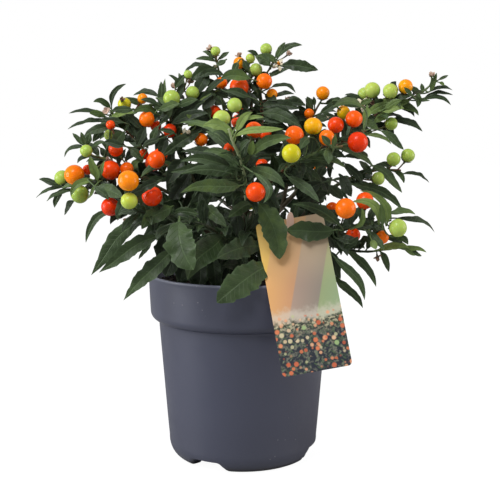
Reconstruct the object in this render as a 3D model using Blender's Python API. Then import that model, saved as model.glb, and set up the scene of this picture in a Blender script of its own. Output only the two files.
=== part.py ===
"""Potted Jerusalem cherry: nursery pot, soil, trunk, leafy branches, berries and a plant label.

Lengths in the tables are millimetres; meshes are built in metres. The origin is the centre of the
pot's foot, +Z is up and the plant's show side faces -Y.
"""

import math
import random

import bmesh
import bpy
from mathutils import Matrix, Vector
from mathutils.bvhtree import BVHTree

MM = 0.001
GAP = 0.3                      # clearance between pieces that touch
SEED = 7

# Pot
POT_SIDES = 48
POT_HEIGHT = 168.0
RIM_RADIUS = 85.0
COLLAR_DROP = 42.0             # the collar hangs this far below the rim
COLLAR_ROUND = 8.0
NECK_RADIUS = 75.7             # body just under the collar
HEEL_RADIUS = 67.3             # body just above the rounded heel
HEEL_ROUND = (12.5, 17.0)      # the heel's elliptic round, across and up
FOOT_INNER_RADIUS = 50.0
FLOOR_Z = 11.0                 # underside of the raised floor
FLOOR_THICKNESS = 2.0
WALL = 1.6
LIP = 1.2                      # rounding of the rim's lip
NOTCH_AZIMUTHS = (-30.5, 74.0, 207.0)   # degrees, from the front towards +X
NOTCH_HALF = 20.0              # half-width at the ground, degrees
NOTCH_RAMP = 9.0               # width of each sloped end, degrees
NOTCH_HEIGHT = 8.0
NOTCH_SLOPE_START = 60.0       # beyond this radius the notch's roof rises at 45 degrees
DRAIN_COUNT = 6
DRAIN_RADIUS = 4.5
DRAIN_CIRCLE = 36.0

# Soil
SOIL_SIDES = 32
SOIL_TOP = 157.0
SOIL_ROUGHNESS = 1.2
ROOT_DEPTH = 36.0              # trunk and label stake reach this far into the soil

# Trunk and branches
TRUNK_RADIUS = (5.6, 4.6)
TRUNK_TOP = 204.0
LIMB_RADIUS = 2.7
SHOOT_RADIUS = (1.9, 0.9)
STUB_RADIUS = 4.2              # swelling where a branch leaves the trunk
TRUNK_SIDES = 10
LIMB_SIDES = 6
STEM_SIDES = 4
STALK_RADIUS = 0.7
CALYX_RADIUS = 2.6
LEAF_THICKNESS = 1.0
MOST_PLACE = 0.97              # nothing grows nearer to a shoot's end than this share of its length

# Label
LABEL_TOP = (38.5, -64.5, 221.5)        # middle of the top edge
LABEL_BOTTOM = (60.0, -109.5, 103.0)    # middle of the bottom edge
LABEL_WIDTH = 57.0
LABEL_THICKNESS = 0.8
LABEL_CORNERS = (3.0, 3.5)              # radius at the top, at the bottom
SLOT_SIZE = (8.4, 7.4)
SLOT_BELOW_TOP = 8.8
STAKE_TIP = (39.4, -68.9, 227.5)
STAKE_LEAN = 0.127                      # how far it leans forward for each unit of height
STAKE_SIZE = (6.2, 1.2)

# Where each branch forks from the trunk (height) and the hub that its shoots start from.
BRANCHES = {
    "branch_low": (174.0, (0, -36, 195)),
    "branch_right": (181.0, (40, -12, 204)),
    "branch_left": (185.0, (-34, -14, 208)),
    "branch_rear": (188.0, (2, 36, 212)),
    "branch_back_left": (193.0, (-32, 14, 222)),
    "branch_back_right": (197.0, (36, 20, 224)),
    "branch_front": (201.0, (4, -28, 232)),
    "branch_top": (204.0, (2, 6, 256)),
}

# Each shoot: its branch, the points that it grows through after the hub, and its leaves as
# (place along the shoot, tip, width, face, bow). Face 0 lies flat and 1 stands up facing the show
# side, or the rear where it is negative; bow is the arch's rise as a share of the leaf's length.
SHOOTS = {
    "far_left": ("branch_left", ((-68, -20, 221), (-98, -20, 230), (-118, -16, 238), (-130, -12, 248),
                                 (-146, -8, 246), (-160, -4, 244)), (
        (0.88, (-182, 0, 252), 8, 0.3, 0.05),
        (0.95, (-185, -2, 234), 6, 0.3, 0.1),
        (0.92, (-173, -14, 231), 7, 0.5, 0.1),
        (0.97, (-166, -8, 226), 7, 0.8, 0.1),
        (0.86, (-160, 6, 219), 7, 0.7, 0.1),
        (0.8, (-150, -34, 236), 6, 0.8, 0.1),
        (0.76, (-102, -48, 238), 14, 0.9, 0.12),
        (0.78, (-134, -18, 271), 9, 1.0, 0.0),
        (0.52, (-138, -18, 196), 9, 0.8, 0.22),
        (0.5, (-109, -28, 214), 6, 1.0, 0.0),
    )),
    "left_front": ("branch_left", ((-54, -46, 220), (-72, -74, 224), (-86, -90, 231), (-92, -98, 240)), (
        (0.35, (-36, -72, 226), 8, 0.8, 0.12),
        (0.5, (-76, -106, 214), 14, 0.9, 0.1),
        (0.55, (-84, -78, 211), 6, 1.0, 0.0),
        (0.6, (-126, -66, 175), 17, 0.9, 0.16),
    )),
    "low_left": ("branch_low", ((-20, -64, 210), (-40, -84, 221), (-60, -90, 219), (-72, -88, 212)), (
        (0.55, (-39, -134, 188), 22, 1.0, 0.12),
        (0.25, (-45, -112, 176), 17, 0.9, 0.1),
        (0.5, (-13, -86, 216), 12, 0.8, 0.12),
        (0.7, (-98, -84, 156), 16, 0.9, 0.12),
        (0.9, (-118, -92, 180), 18, 0.9, 0.16),
        (0.9, (-86, -74, 189), 5, 1.0, 0.0),
        (0.8, (-64, -70, 182), 11, 0.9, 0.0),
        (0.15, (-34, -56, 173), 15, 0.9, 0.05),
    )),
    "low_mid": ("branch_low", ((3, -52, 208), (7, -64, 220), (9, -70, 230)), (
        (0.4, (-21, -100, 193), 14, 0.9, 0.08),
        (0.3, (-21, -98, 158), 18, 0.9, 0.08),
        (0.97, (30, -96, 192), 20, 1.0, 0.14),
        (0.8, (-12, -78, 225), 11, 0.8, 0.06),
    )),
    "low_right": ("branch_low", ((24, -52, 203), (48, -56, 209), (67, -62, 211), (80, -70, 213)), (
        (0.97, (36, -90, 215), 12, 0.9, 0.0),
        (0.97, (39, -90, 235), 12, 0.8, 0.1),
        (0.4, (64, -50, 178), 12, 0.8, 0.05),
    )),
    "left_mid": ("branch_back_left", ((-73, 2, 242), (-98, -6, 258), (-119, -14, 269), (-132, -18, 273),
                                      (-138, -18, 281)), (
        (0.95, (-156, -20, 272), 6, 0.3, 0.2),
        (0.85, (-145, -28, 266), 5, 0.4, 0.1),
        (0.97, (-149, -14, 292), 5, 0.8, 0.0),
        (0.75, (-140, 2, 289), 9, 0.6, 0.1),
        (0.4, (-108, 12, 252), 9, 0.6, 0.1),
    )),
    "left_high": ("branch_back_left", ((-74, 18, 258), (-96, 14, 285), (-110, 10, 299), (-118, 6, 312)), (
        (0.97, (-104, 5, 334), 4, 0.7, -0.2),
        (0.96, (-131, -2, 320), 7, 0.5, 0.1),
        (0.9, (-154, 0, 309), 6, 0.3, 0.1),
        (0.85, (-154, -8, 296), 6, 0.3, 0.1),
        (0.9, (-95, -10, 309), 8, 0.5, 0.0),
        (0.6, (-108, 20, 322), 6, 0.5, 0.1),
        (0.15, (-55, -14, 222), 12, 0.9, 0.0),
    )),
    "upper_left": ("branch_back_left", ((-52, 6, 266), (-62, 2, 288), (-64, 3, 308), (-58, 5, 320),
                                        (-51, 6, 331)), (
        (0.75, (-97, 14, 325), 8, 0.3, 0.1),
        (0.72, (-72, 2, 337), 8, 1.0, 0.0),
        (0.74, (-69, 10, 339), 5, 1.0, 0.0),
        (0.95, (-66, 6, 343), 4, 0.4, 0.0),
        (0.95, (-57, 10, 344), 4, 0.8, 0.0),
        (0.4, (-70, -32, 275), 12, 0.7, 0.1),
        (0.35, (-88, -32, 254), 9, 0.7, 0.14),
        (0.3, (-63, -20, 232), 12, 0.9, 0.0),
        (0.8, (-37, -12, 313), 11, 0.6, 0.1),
    )),
    "top_left": ("branch_top", ((-10, 14, 292), (-18, 16, 318), (-20, 16, 340), (-23, 16, 354)), (
        (0.85, (-54, 18, 344), 6, 0.2, 0.24),
        (0.92, (-42, 12, 357), 5, 0.3, 0.1),
        (0.96, (-36, 16, 364), 5, 0.3, 0.1),
        (0.96, (-12, 18, 364), 4, 0.3, 0.0),
        (0.8, (-47, 2, 333), 9, 0.6, 0.2),
        (0.75, (-36, 0, 322), 9, 0.9, 0.2),
        (0.82, (-6, 24, 359), 6, 0.6, 0.1),
    )),
    "top_mid": ("branch_top", ((8, 22, 290), (8, 24, 318), (5, 24, 338), (2, 24, 347)), (
        (0.85, (-20, 6, 334), 12, 0.7, 0.14),
        (0.7, (22, 0, 310), 10, 0.8, 0.1),
        (0.6, (-28, 10, 300), 11, 0.6, 0.1),
    )),
    "top_right": ("branch_top", ((16, 8, 288), (17, 10, 314), (16, 12, 334), (23, 12, 347),
                                 (30, 12, 357)), (
        (0.97, (38, 12, 372), 7, 0.9, 0.0),
        (0.97, (53, 10, 368), 6, 0.4, 0.1),
        (0.78, (67, 4, 348), 12, 0.8, 0.08),
        (0.7, (48, 6, 327), 6, 0.2, 0.3),
        (0.88, (4, 12, 364), 7, 0.6, 0.1),
        (0.5, (46, 14, 326), 6, 0.3, 0.2),
    )),
    "centre_front": ("branch_front", ((3, -58, 238), (2, -82, 254), (-2, -94, 272), (-8, -103, 286),
                                      (-11, -108, 296)), (
        (0.85, (-51, -64, 301), 9, 0.7, 0.1),
        (0.9, (-32, -96, 298), 9, 0.8, 0.1),
        (0.95, (8, -104, 309), 9, 0.8, 0.1),
        (0.95, (17, -108, 305), 6, 0.6, 0.1),
        (0.86, (32, -112, 296), 8, 0.7, 0.06),
        (0.7, (-32, -94, 279), 8, 0.7, 0.14),
        (0.3, (-49, -114, 246), 14, 0.9, 0.08),
        (0.5, (-50, -98, 260), 12, 0.8, 0.1),
        (0.4, (-60, -64, 260), 10, 0.8, 0.08),
        (0.6, (-51, -74, 275), 13, 0.8, 0.1),
        (0.55, (37, -104, 289), 13, 0.8, 0.06),
        (0.4, (33, -108, 250), 11, 0.9, 0.1),
    )),
    "right_centre": ("branch_front", ((25, -40, 252), (38, -56, 264), (50, -74, 272), (65, -80, 279),
                                      (81, -78, 282)), (
        (0.8, (68, -92, 267), 8, 0.8, 0.0),
        (0.85, (100, -70, 268), 8, 0.5, 0.14),
        (0.3, (59, -116, 239), 16, 0.8, 0.14),
        (0.4, (84, -84, 247), 13, 0.6, 0.14),
        (0.45, (66, -62, 252), 12, 0.8, 0.08),
    )),
    "right_upper": ("branch_back_right", ((46, 16, 270), (58, 12, 296), (66, 10, 313), (70, 8, 320)), (
        (0.9, (56, 6, 324), 7, 0.6, 0.1),
        (0.85, (92, 10, 318), 9, 0.4, 0.1),
        (0.9, (92, 22, 326), 7, 0.3, 0.1),
        (0.7, (30, 12, 321), 13, 0.6, 0.1),
        (0.55, (34, -16, 310), 14, 0.6, 0.1),
    )),
    "right_mid": ("branch_back_right", ((62, 2, 254), (78, -28, 278), (92, -44, 290), (104, -46, 294)), (
        (0.95, (137, -42, 278), 9, 0.6, 0.14),
        (0.9, (125, -34, 283), 5, 0.5, 0.1),
        (0.95, (97, -68, 304), 11, 0.9, 0.1),
        (0.8, (108, -46, 278), 5, 0.6, 0.0),
    )),
    "long_right": ("branch_back_right", ((80, 16, 272), (106, 4, 298), (125, -6, 313), (142, -10, 320),
                                         (155, -10, 326), (166, -10, 335)), (
        (0.65, (159, -4, 293), 9, 0.5, 0.14),
        (0.68, (154, -18, 306), 10, 0.6, 0.12),
        (0.86, (181, -14, 317), 7, 0.3, 0.16),
        (0.88, (185, -6, 325), 6, 0.2, 0.1),
        (0.95, (185, 2, 330), 5, 0.2, 0.1),
        (0.97, (179, -10, 342), 4, 0.4, 0.1),
        (0.97, (169, -12, 345), 5, 0.9, 0.0),
        (0.9, (152, -20, 315), 6, 0.9, 0.0),
        (0.92, (156, 2, 337), 5, 0.7, 0.0),
        (0.45, (87, 12, 322), 9, 0.4, 0.1),
        (0.5, (118, -14, 303), 10, 0.8, 0.05),
        (0.35, (104, 0, 276), 10, 0.7, 0.08),
    )),
    "right_out": ("branch_right", ((72, -8, 238), (96, -18, 253), (117, -25, 260), (137, -28, 260)), (
        (0.6, (139, -30, 226), 10, 0.6, 0.16),
        (0.75, (136, -40, 241), 10, 0.7, 0.1),
        (0.97, (161, -30, 249), 6, 0.3, 0.16),
        (0.97, (139, -36, 249), 6, 0.7, 0.1),
        (0.8, (121, -18, 268), 5, 0.4, 0.1),
        (0.45, (66, -30, 256), 12, 0.6, 0.1),
    )),
    "right_low": ("branch_right", ((70, -42, 208), (90, -60, 213), (106, -69, 218), (119, -74, 223)), (
        (0.97, (142, -76, 226), 7, 0.5, 0.1),
        (0.95, (161, -66, 210), 8, 0.5, 0.14),
        (0.96, (104, -88, 242), 9, 0.9, 0.2),
        (0.97, (87, -106, 239), 9, 0.7, 0.2),
        (0.6, (116, -78, 199), 9, 0.7, 0.1),
    )),
    "right_lowest": ("branch_right", ((70, -36, 198), (87, -50, 194), (104, -58, 193), (118, -62, 195)), (
        (0.97, (122, -66, 176), 6, 0.9, 0.0),
        (0.95, (153, -66, 192), 9, 0.6, 0.05),
        (0.6, (110, -80, 166), 11, 0.8, 0.16),
        (0.35, (99, -84, 156), 13, 0.9, 0.14),
        (0.3, (100, -56, 146), 11, 0.8, 0.12),
        (0.3, (74, -52, 176), 10, 0.9, 0.0),
        (0.97, (139, -54, 198), 6, 0.6, 0.1),
    )),
    "rear_left": ("branch_rear", ((-24, 60, 230), (-50, 78, 244), (-74, 90, 250), (-92, 100, 254)), (
        (0.4, (-62, 50, 212), 15, -0.7, 0.14),
        (0.5, (-30, 112, 222), 15, -0.8, 0.14),
        (0.7, (-106, 70, 236), 12, -0.6, 0.14),
        (0.8, (-66, 124, 236), 11, -0.7, 0.14),
        (0.97, (-128, 100, 246), 9, -0.4, 0.14),
        (0.97, (-98, 132, 248), 9, -0.5, 0.14),
        (0.9, (-76, 92, 284), 9, -0.6, 0.0),
    )),
    "rear_right": ("branch_rear", ((26, 58, 228), (50, 76, 238), (72, 92, 242), (86, 106, 246)), (
        (0.35, (66, 46, 208), 15, -0.7, 0.14),
        (0.5, (34, 112, 214), 15, -0.8, 0.14),
        (0.7, (104, 68, 224), 12, -0.6, 0.14),
        (0.8, (52, 128, 228), 11, -0.7, 0.14),
        (0.97, (122, 112, 234), 9, -0.4, 0.14),
        (0.97, (90, 134, 236), 9, -0.5, 0.14),
        (0.9, (68, 92, 274), 9, -0.6, 0.0),
    )),
    "rear_high": ("branch_rear", ((-2, 58, 250), (-8, 74, 278), (-12, 80, 300), (-14, 82, 316)), (
        (0.4, (-44, 74, 266), 13, -0.6, 0.14),
        (0.5, (34, 80, 270), 13, -0.6, 0.14),
        (0.7, (-20, 118, 276), 13, -0.8, 0.14),
        (0.8, (-50, 88, 302), 10, -0.5, 0.14),
        (0.9, (24, 92, 310), 10, -0.5, 0.14),
        (0.97, (-18, 118, 314), 9, -0.6, 0.14),
        (0.97, (-32, 72, 332), 8, -0.6, 0.0),
    )),
    "rear_low": ("branch_rear", ((0, 60, 212), (-6, 80, 212), (-10, 96, 206)), (
        (0.5, (30, 104, 176), 16, -0.9, 0.14),
        (0.6, (-44, 96, 180), 16, -0.9, 0.14),
        (0.97, (-16, 130, 176), 15, -0.9, 0.14),
        (0.9, (26, 122, 200), 12, -0.7, 0.14),
    )),
}

# Berries, as (shoot, place along it, centre, diameter, ripeness from 0 green to 1 red).
BERRIES = (
    ("far_left", 0.86, (-146, -24, 256), 18.2, 0.7),
    ("far_left", 0.93, (-161, 0, 252), 14.0, 0.1),
    ("far_left", 0.8, (-142, -22, 239), 16.2, 0.05),
    ("far_left", 0.7, (-115, -22, 260), 17.0, 0.95),
    ("far_left", 0.6, (-114, -34, 229), 16.2, 1.0),
    ("left_front", 0.95, (-89, -113, 256), 17.0, 0.65),
    ("left_front", 0.85, (-89, -110, 240), 13.4, 0.3),
    ("left_front", 0.6, (-73, -88, 242), 16.8, 1.0),
    ("left_mid", 0.92, (-134, -32, 277), 10.8, 0.1),
    ("left_mid", 0.7, (-117, 0, 290), 12.4, 0.1),
    ("left_mid", 0.6, (-110, -22, 278), 13.0, 0.95),
    ("left_high", 0.9, (-104, -4, 317), 12.0, 0.35),
    ("left_high", 0.65, (-84, -8, 304), 14.1, 0.75),
    ("upper_left", 0.75, (-62, -10, 322), 14.9, 0.1),
    ("upper_left", 0.85, (-44, -4, 327), 12.3, 0.1),
    ("upper_left", 0.3, (-73, -46, 270), 15.2, 0.9),
    ("top_left", 0.7, (-3, -2, 332), 17.2, 0.9),
    ("top_left", 0.45, (-7, -16, 316), 13.1, 0.15),
    ("top_mid", 0.98, (-3, 16, 354), 10.8, 0.6),
    ("top_mid", 0.9, (12, 14, 348), 11.6, 0.15),
    ("top_right", 0.75, (19, -4, 337), 14.1, 0.75),
    ("top_right", 0.95, (21, 14, 366), 10.7, 0.1),
    ("centre_front", 0.75, (-17, -80, 304), 14.5, 0.2),
    ("centre_front", 0.7, (9, -86, 295), 14.2, 0.85),
    ("centre_front", 0.2, (10, -112, 247), 15.8, 0.95),
    ("right_centre", 0.4, (38, -108, 277), 15.2, 0.35),
    ("right_centre", 0.5, (41, -94, 291), 15.4, 0.9),
    ("right_centre", 0.8, (67, -92, 289), 12.8, 0.75),
    ("right_centre", 0.7, (57, -78, 298), 15.0, 0.5),
    ("right_upper", 0.98, (71, 2, 327), 12.4, 0.7),
    ("right_mid", 0.75, (77, -60, 299), 13.8, 0.95),
    ("right_mid", 0.85, (92, -60, 304), 14.4, 0.85),
    ("right_mid", 0.8, (94, -72, 285), 17.4, 1.0),
    ("long_right", 0.6, (113, -12, 329), 14.6, 0.15),
    ("long_right", 0.7, (128, -18, 328), 13.2, 0.1),
    ("long_right", 0.78, (141, -18, 332), 12.6, 0.65),
    ("right_out", 0.9, (129, -36, 270), 12.0, 0.1),
    ("right_out", 0.96, (142, -32, 273), 12.0, 0.1),
    ("right_low", 0.55, (82, -98, 233), 16.7, 0.75),
    ("right_low", 0.75, (99, -84, 238), 14.4, 0.9),
    ("right_low", 0.95, (126, -86, 216), 15.0, 0.15),
    ("right_low", 0.85, (115, -74, 207), 11.4, 0.75),
    ("rear_left", 0.75, (-80, 96, 270), 16.0, 0.9),
    ("rear_right", 0.8, (76, 98, 260), 16.0, 0.7),
    ("rear_high", 0.7, (-4, 92, 302), 15.0, 0.95),
    ("rear_low", 0.8, (6, 98, 222), 15.0, 0.4),
)

# Leaf outlines as (share of the length, share of the half-width).
LARGE_LEAF = ((0.14, 0.25), (0.42, 1.0), (0.74, 0.78))
SMALL_LEAF = ((0.3, 0.85), (0.65, 0.9))
SMALL_LEAF_WIDTH = 8.5

RIPENESS_COLOURS = (
    (0.0, (0.28, 0.46, 0.10)),
    (0.3, (0.55, 0.56, 0.05)),
    (0.55, (0.86, 0.42, 0.02)),
    (0.75, (0.85, 0.20, 0.01)),
    (1.0, (0.62, 0.02, 0.005)),
)

MATERIALS = {
    "pot_plastic": ((0.075, 0.08, 0.105, 1.0), 0.42),
    "peat": ((0.018, 0.012, 0.009, 1.0), 0.95),
    "bark": ((0.13, 0.11, 0.06, 1.0), 0.75),
    "foliage": ((0.045, 0.11, 0.04, 1.0), 0.45),
    "label_card": ((0.42, 0.32, 0.22, 1.0), 0.5),
    "label_stake": ((0.72, 0.48, 0.38, 1.0), 0.5),
}


def clear_scene():
    for obj in list(bpy.data.objects):
        bpy.data.objects.remove(obj, do_unlink=True)


def material(name, colour, roughness):
    mat = bpy.data.materials.get(name) or bpy.data.materials.new(name)
    mat.use_nodes = True
    shader = mat.node_tree.nodes["Principled BSDF"]
    shader.inputs["Base Color"].default_value = colour
    shader.inputs["Roughness"].default_value = roughness
    shader.inputs["Metallic"].default_value = 0.0
    mat.diffuse_color = colour
    return mat


def add_object(name, points, faces, mat=None, collection=None):
    """A mesh object from points in millimetres, with its normals turned outwards."""
    mesh = bpy.data.meshes.new(name)
    mesh.from_pydata([tuple(Vector(p) * MM) for p in points], [], faces)
    bm = bmesh.new()
    bm.from_mesh(mesh)
    bmesh.ops.recalc_face_normals(bm, faces=bm.faces)
    bm.to_mesh(mesh)
    bm.free()
    mesh.shade_smooth()
    mesh.set_sharp_from_angle(angle=math.radians(40))
    obj = bpy.data.objects.new(name, mesh)
    (collection or bpy.context.scene.collection).objects.link(obj)
    if mat:
        mesh.materials.append(mat)
    return obj


def new_collection(name):
    collection = bpy.data.collections.new(name)
    bpy.context.scene.collection.children.link(collection)
    return collection


def as_cutter(obj):
    obj.hide_render = True
    obj.display_type = "WIRE"
    return obj


def boolean(obj, other, operation):
    modifier = obj.modifiers.new(operation.title(), "BOOLEAN")
    modifier.operation = operation
    modifier.solver = "EXACT"
    modifier.material_mode = "TRANSFER"
    if isinstance(other, bpy.types.Collection):
        modifier.operand_type = "COLLECTION"
        modifier.collection = other
    else:
        modifier.object = other


def turned(profile, sides):
    """Points and faces of a closed profile of (radius, height) turned round Z."""
    points, faces, rings = [], [], []
    for radius, height in profile:
        if radius < 1e-6:
            rings.append([len(points)])
            points.append((0.0, 0.0, height))
            continue
        rings.append(range(len(points), len(points) + sides))
        for i in range(sides):
            a = math.tau * i / sides
            points.append((radius * math.cos(a), radius * math.sin(a), height))
    for low, high in zip(rings, rings[1:] + rings[:1]):
        if len(low) == 1 and len(high) == 1:
            continue
        for i in range(sides):
            j = (i + 1) % sides
            corners = [low[i % len(low)], low[j % len(low)], high[j % len(high)], high[i % len(high)]]
            faces.append(list(dict.fromkeys(corners)))
    return points, faces


def arc(centre, radius, start, end, steps):
    """Points of (radius, height) along an arc, angles in degrees from +X."""
    for i in range(steps + 1):
        a = math.radians(start + (end - start) * i / steps)
        yield centre[0] + radius * math.cos(a), centre[1] + radius * math.sin(a)


def pot_profile():
    collar_z = POT_HEIGHT - COLLAR_DROP
    collar_radius = RIM_RADIUS - 1.8
    outer = list(arc((RIM_RADIUS - LIP, POT_HEIGHT - LIP), LIP, 90, 0, 2))
    outer.append((RIM_RADIUS - 0.5, POT_HEIGHT - 5.0))
    outer += arc((collar_radius - COLLAR_ROUND, collar_z + COLLAR_ROUND), COLLAR_ROUND, 0, -90, 4)
    outer.append((NECK_RADIUS, collar_z - 1.2))
    across, up = HEEL_ROUND
    outer += [(HEEL_RADIUS + across * (r - 1), up * z) for r, z in arc((0.0, 1.0), 1.0, 4, -90, 5)]
    foot = [(FOOT_INNER_RADIUS, 0.0), (FOOT_INNER_RADIUS - 1.0, FLOOR_Z), (0.0, FLOOR_Z)]
    floor_top = FLOOR_Z + FLOOR_THICKNESS
    inner = [
        (0.0, floor_top),
        (HEEL_RADIUS - 6.0, floor_top),
        (HEEL_RADIUS - WALL, floor_top + 6.0),
        (NECK_RADIUS - WALL, collar_z - 1.2),
        (NECK_RADIUS - WALL + 1.0, collar_z + 2.0),
        (collar_radius - WALL, collar_z + 7.0),
        (RIM_RADIUS - LIP - WALL, POT_HEIGHT - 3.0),
        (RIM_RADIUS - LIP - WALL + 0.4, POT_HEIGHT - 0.4),
    ]
    return outer + foot + inner


def direction(azimuth):
    """Level unit vector at an azimuth in degrees from the show side towards +X."""
    a = math.radians(azimuth)
    return Vector((math.sin(a), -math.cos(a), 0.0))


def notch_cutter(azimuth):
    """A radial block with sloped ends, wider at the ground than at its roof."""
    outer = HEEL_RADIUS + 20.0
    roof = ((FOOT_INNER_RADIUS - 6.0, NOTCH_HEIGHT), (NOTCH_SLOPE_START, NOTCH_HEIGHT),
            (outer, NOTCH_HEIGHT + outer - NOTCH_SLOPE_START))
    points, faces = [], [(0, 1, 2, 3)]
    for radius, top in roof:
        for height, turn in ((-3.0, -NOTCH_HALF - 3.0), (-3.0, NOTCH_HALF + 3.0),
                             (top, NOTCH_HALF - NOTCH_RAMP), (top, NOTCH_RAMP - NOTCH_HALF)):
            points.append(direction(azimuth + turn) * radius + Vector((0, 0, height)))
    for start in (0, 4):
        faces += [(start + k, start + (k + 1) % 4, start + 4 + (k + 1) % 4, start + 4 + k)
                  for k in range(4)]
    faces.append((11, 10, 9, 8))
    return as_cutter(add_object("notch_cutter", points, faces))


def drain_cutter(index):
    a = math.tau * (index / DRAIN_COUNT + 0.5 / POT_SIDES)
    centre = Vector((math.cos(a), math.sin(a), 0.0)) * DRAIN_CIRCLE
    profile = [(0.0, FLOOR_Z - 3.0), (DRAIN_RADIUS, FLOOR_Z - 3.0),
               (DRAIN_RADIUS, FLOOR_Z + 5.0), (0.0, FLOOR_Z + 5.0)]
    points, faces = turned(profile, 10)
    return as_cutter(add_object("drain_cutter", [Vector(p) + centre for p in points], faces))


def make_pot():
    points, faces = turned(pot_profile(), POT_SIDES)
    pot = add_object("pot", points, faces, material("pot_plastic", *MATERIALS["pot_plastic"]))
    for azimuth in NOTCH_AZIMUTHS:
        boolean(pot, notch_cutter(azimuth), "DIFFERENCE")
    for index in range(DRAIN_COUNT):
        boolean(pot, drain_cutter(index), "DIFFERENCE")
    return pot


def soil_profile():
    """The pot's inside, kept clear of its wall, up to a slightly mounded top."""
    inner = [p for p in pot_profile() if p[0] == 0.0 or p[1] > FLOOR_Z]
    start = inner.index((0.0, FLOOR_Z + FLOOR_THICKNESS))
    below = [(max(r - GAP * 1.6, 0.0), z + GAP) for r, z in inner[start:-2]]
    below.append((RIM_RADIUS - LIP - WALL - 0.9, SOIL_TOP))
    mound = [(60.0, SOIL_TOP + 0.6), (38.0, SOIL_TOP + 1.2), (18.0, SOIL_TOP + 1.8), (0.0, SOIL_TOP + 2.4)]
    return below + mound


def make_soil():
    points, faces = turned(soil_profile(), SOIL_SIDES)
    rng = random.Random(SEED)
    rough = []
    for p in points:
        inside = p[2] > SOIL_TOP + 0.3
        rough.append((p[0], p[1], p[2] + (rng.uniform(-1, 1) * SOIL_ROUGHNESS if inside else 0.0)))
    soil = add_object("potting_soil", rough, faces, material("peat", *MATERIALS["peat"]))
    points, faces = trunk_shape(GAP)
    boolean(soil, as_cutter(add_object("trunk_hole_cutter", points, faces)), "DIFFERENCE")
    points, faces = stake_shape(GAP)
    boolean(soil, as_cutter(add_object("stake_hole_cutter", points, faces)), "DIFFERENCE")
    return soil


def smooth_route(points, fraction):
    """The point at a share of the length of a smooth curve through the points."""
    lengths = [(b - a).length for a, b in zip(points, points[1:])]
    target = max(0.0, min(1.0, fraction)) * sum(lengths)
    for i, length in enumerate(lengths):
        if target <= length or i == len(lengths) - 1:
            break
        target -= length
    t = min(target / lengths[i], 1.0)
    before = points[max(i - 1, 0)]
    after = points[min(i + 2, len(points) - 1)]
    a, b = points[i], points[i + 1]
    return 0.5 * (2 * a + (b - before) * t + (2 * before - 5 * a + 4 * b - after) * t ** 2
                  + (3 * a - before - 3 * b + after) * t ** 3)


def tube(path, radii, sides):
    """A closed tube through the path's points, with flat ends."""
    points, faces = [], []
    for i, (centre, radius) in enumerate(zip(path, radii)):
        along = (path[min(i + 1, len(path) - 1)] - path[max(i - 1, 0)]).normalized()
        across = (across - along * across.dot(along)).normalized() if i else along.orthogonal().normalized()
        other = along.cross(across)
        for k in range(sides):
            a = math.tau * k / sides
            points.append(centre + (across * math.cos(a) + other * math.sin(a)) * radius)
        if i:
            base = (i - 1) * sides
            for k in range(sides):
                n = (k + 1) % sides
                faces.append((base + k, base + n, base + sides + n, base + sides + k))
    faces.append(tuple(range(sides))[::-1])
    faces.append(tuple(range(len(points) - sides, len(points))))
    return points, faces


def blade(base, tip, width, face, bow):
    """A closed leaf: flat above and keeled below, it swells and narrows along an arched midrib."""
    chord = tip - base
    along = chord.normalized()
    front = Vector((0, -1, 0)) if face >= 0 else Vector((0, 1, 0))
    hint = Vector((0, 0, 1)) * (1 - abs(face)) + front * abs(face)
    normal = (hint - along * hint.dot(along)).normalized()
    up = Vector((0, 0, 1))
    rise = (up - along * up.dot(along))
    rise = rise.normalized() if rise.length > 0.2 else normal
    side = along.cross(normal)
    stations = LARGE_LEAF if width > SMALL_LEAF_WIDTH else SMALL_LEAF
    points, faces = [base], []
    for place, half in stations:
        centre = base + chord * place + rise * chord.length * bow * 4 * place * (1 - place)
        reach = side * width * 0.5 * half
        points += [centre + reach, centre - reach, centre - normal * LEAF_THICKNESS]
    points.append(tip)
    last = len(points) - 4
    for k in range(3):
        n = (k + 1) % 3
        faces.append((0, 1 + n, 1 + k))
        for ring in range(1, last, 3):
            faces.append((ring + k, ring + n, ring + n + 3, ring + k + 3))
        faces.append((last + k, last + n, len(points) - 1))
    return points, faces


def stake_shape(grow):
    """The flat stake as points and faces, grown all round by a clearance."""
    tip = Vector(STAKE_TIP)
    half_width, half_depth = STAKE_SIZE[0] / 2 + grow, STAKE_SIZE[1] / 2 + grow
    down = Vector((0, STAKE_LEAN, -1)).normalized()
    length = (STAKE_TIP[2] - SOIL_TOP + ROOT_DEPTH) / -down.z
    across = Vector((1, 0, 0))
    depth = down.cross(across)
    outline = [(half_width * math.cos(a), -half_width * math.sin(a) + half_width)
               for a in (math.pi * i / 6 for i in range(7))]
    outline += [(-half_width, length - 12.0), (-0.8 - grow, length + 2 * grow),
                (0.8 + grow, length + 2 * grow), (half_width, length - 12.0)]
    points = [tip + across * u + down * (v - grow) + depth * s * half_depth
              for s in (-1, 1) for u, v in outline]
    n = len(outline)
    faces = [tuple(range(n)), tuple(range(2 * n - 1, n - 1, -1))]
    faces += [(i, i + n, (i + 1) % n + n, (i + 1) % n) for i in range(n)]
    return points, faces


def label_frame():
    """The card's width, downward and outward directions."""
    down = (Vector(LABEL_BOTTOM) - Vector(LABEL_TOP)).normalized()
    front = Vector((0, -1, 0))
    normal = (front - down * front.dot(down)).normalized()
    return normal.cross(down), down, normal


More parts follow.
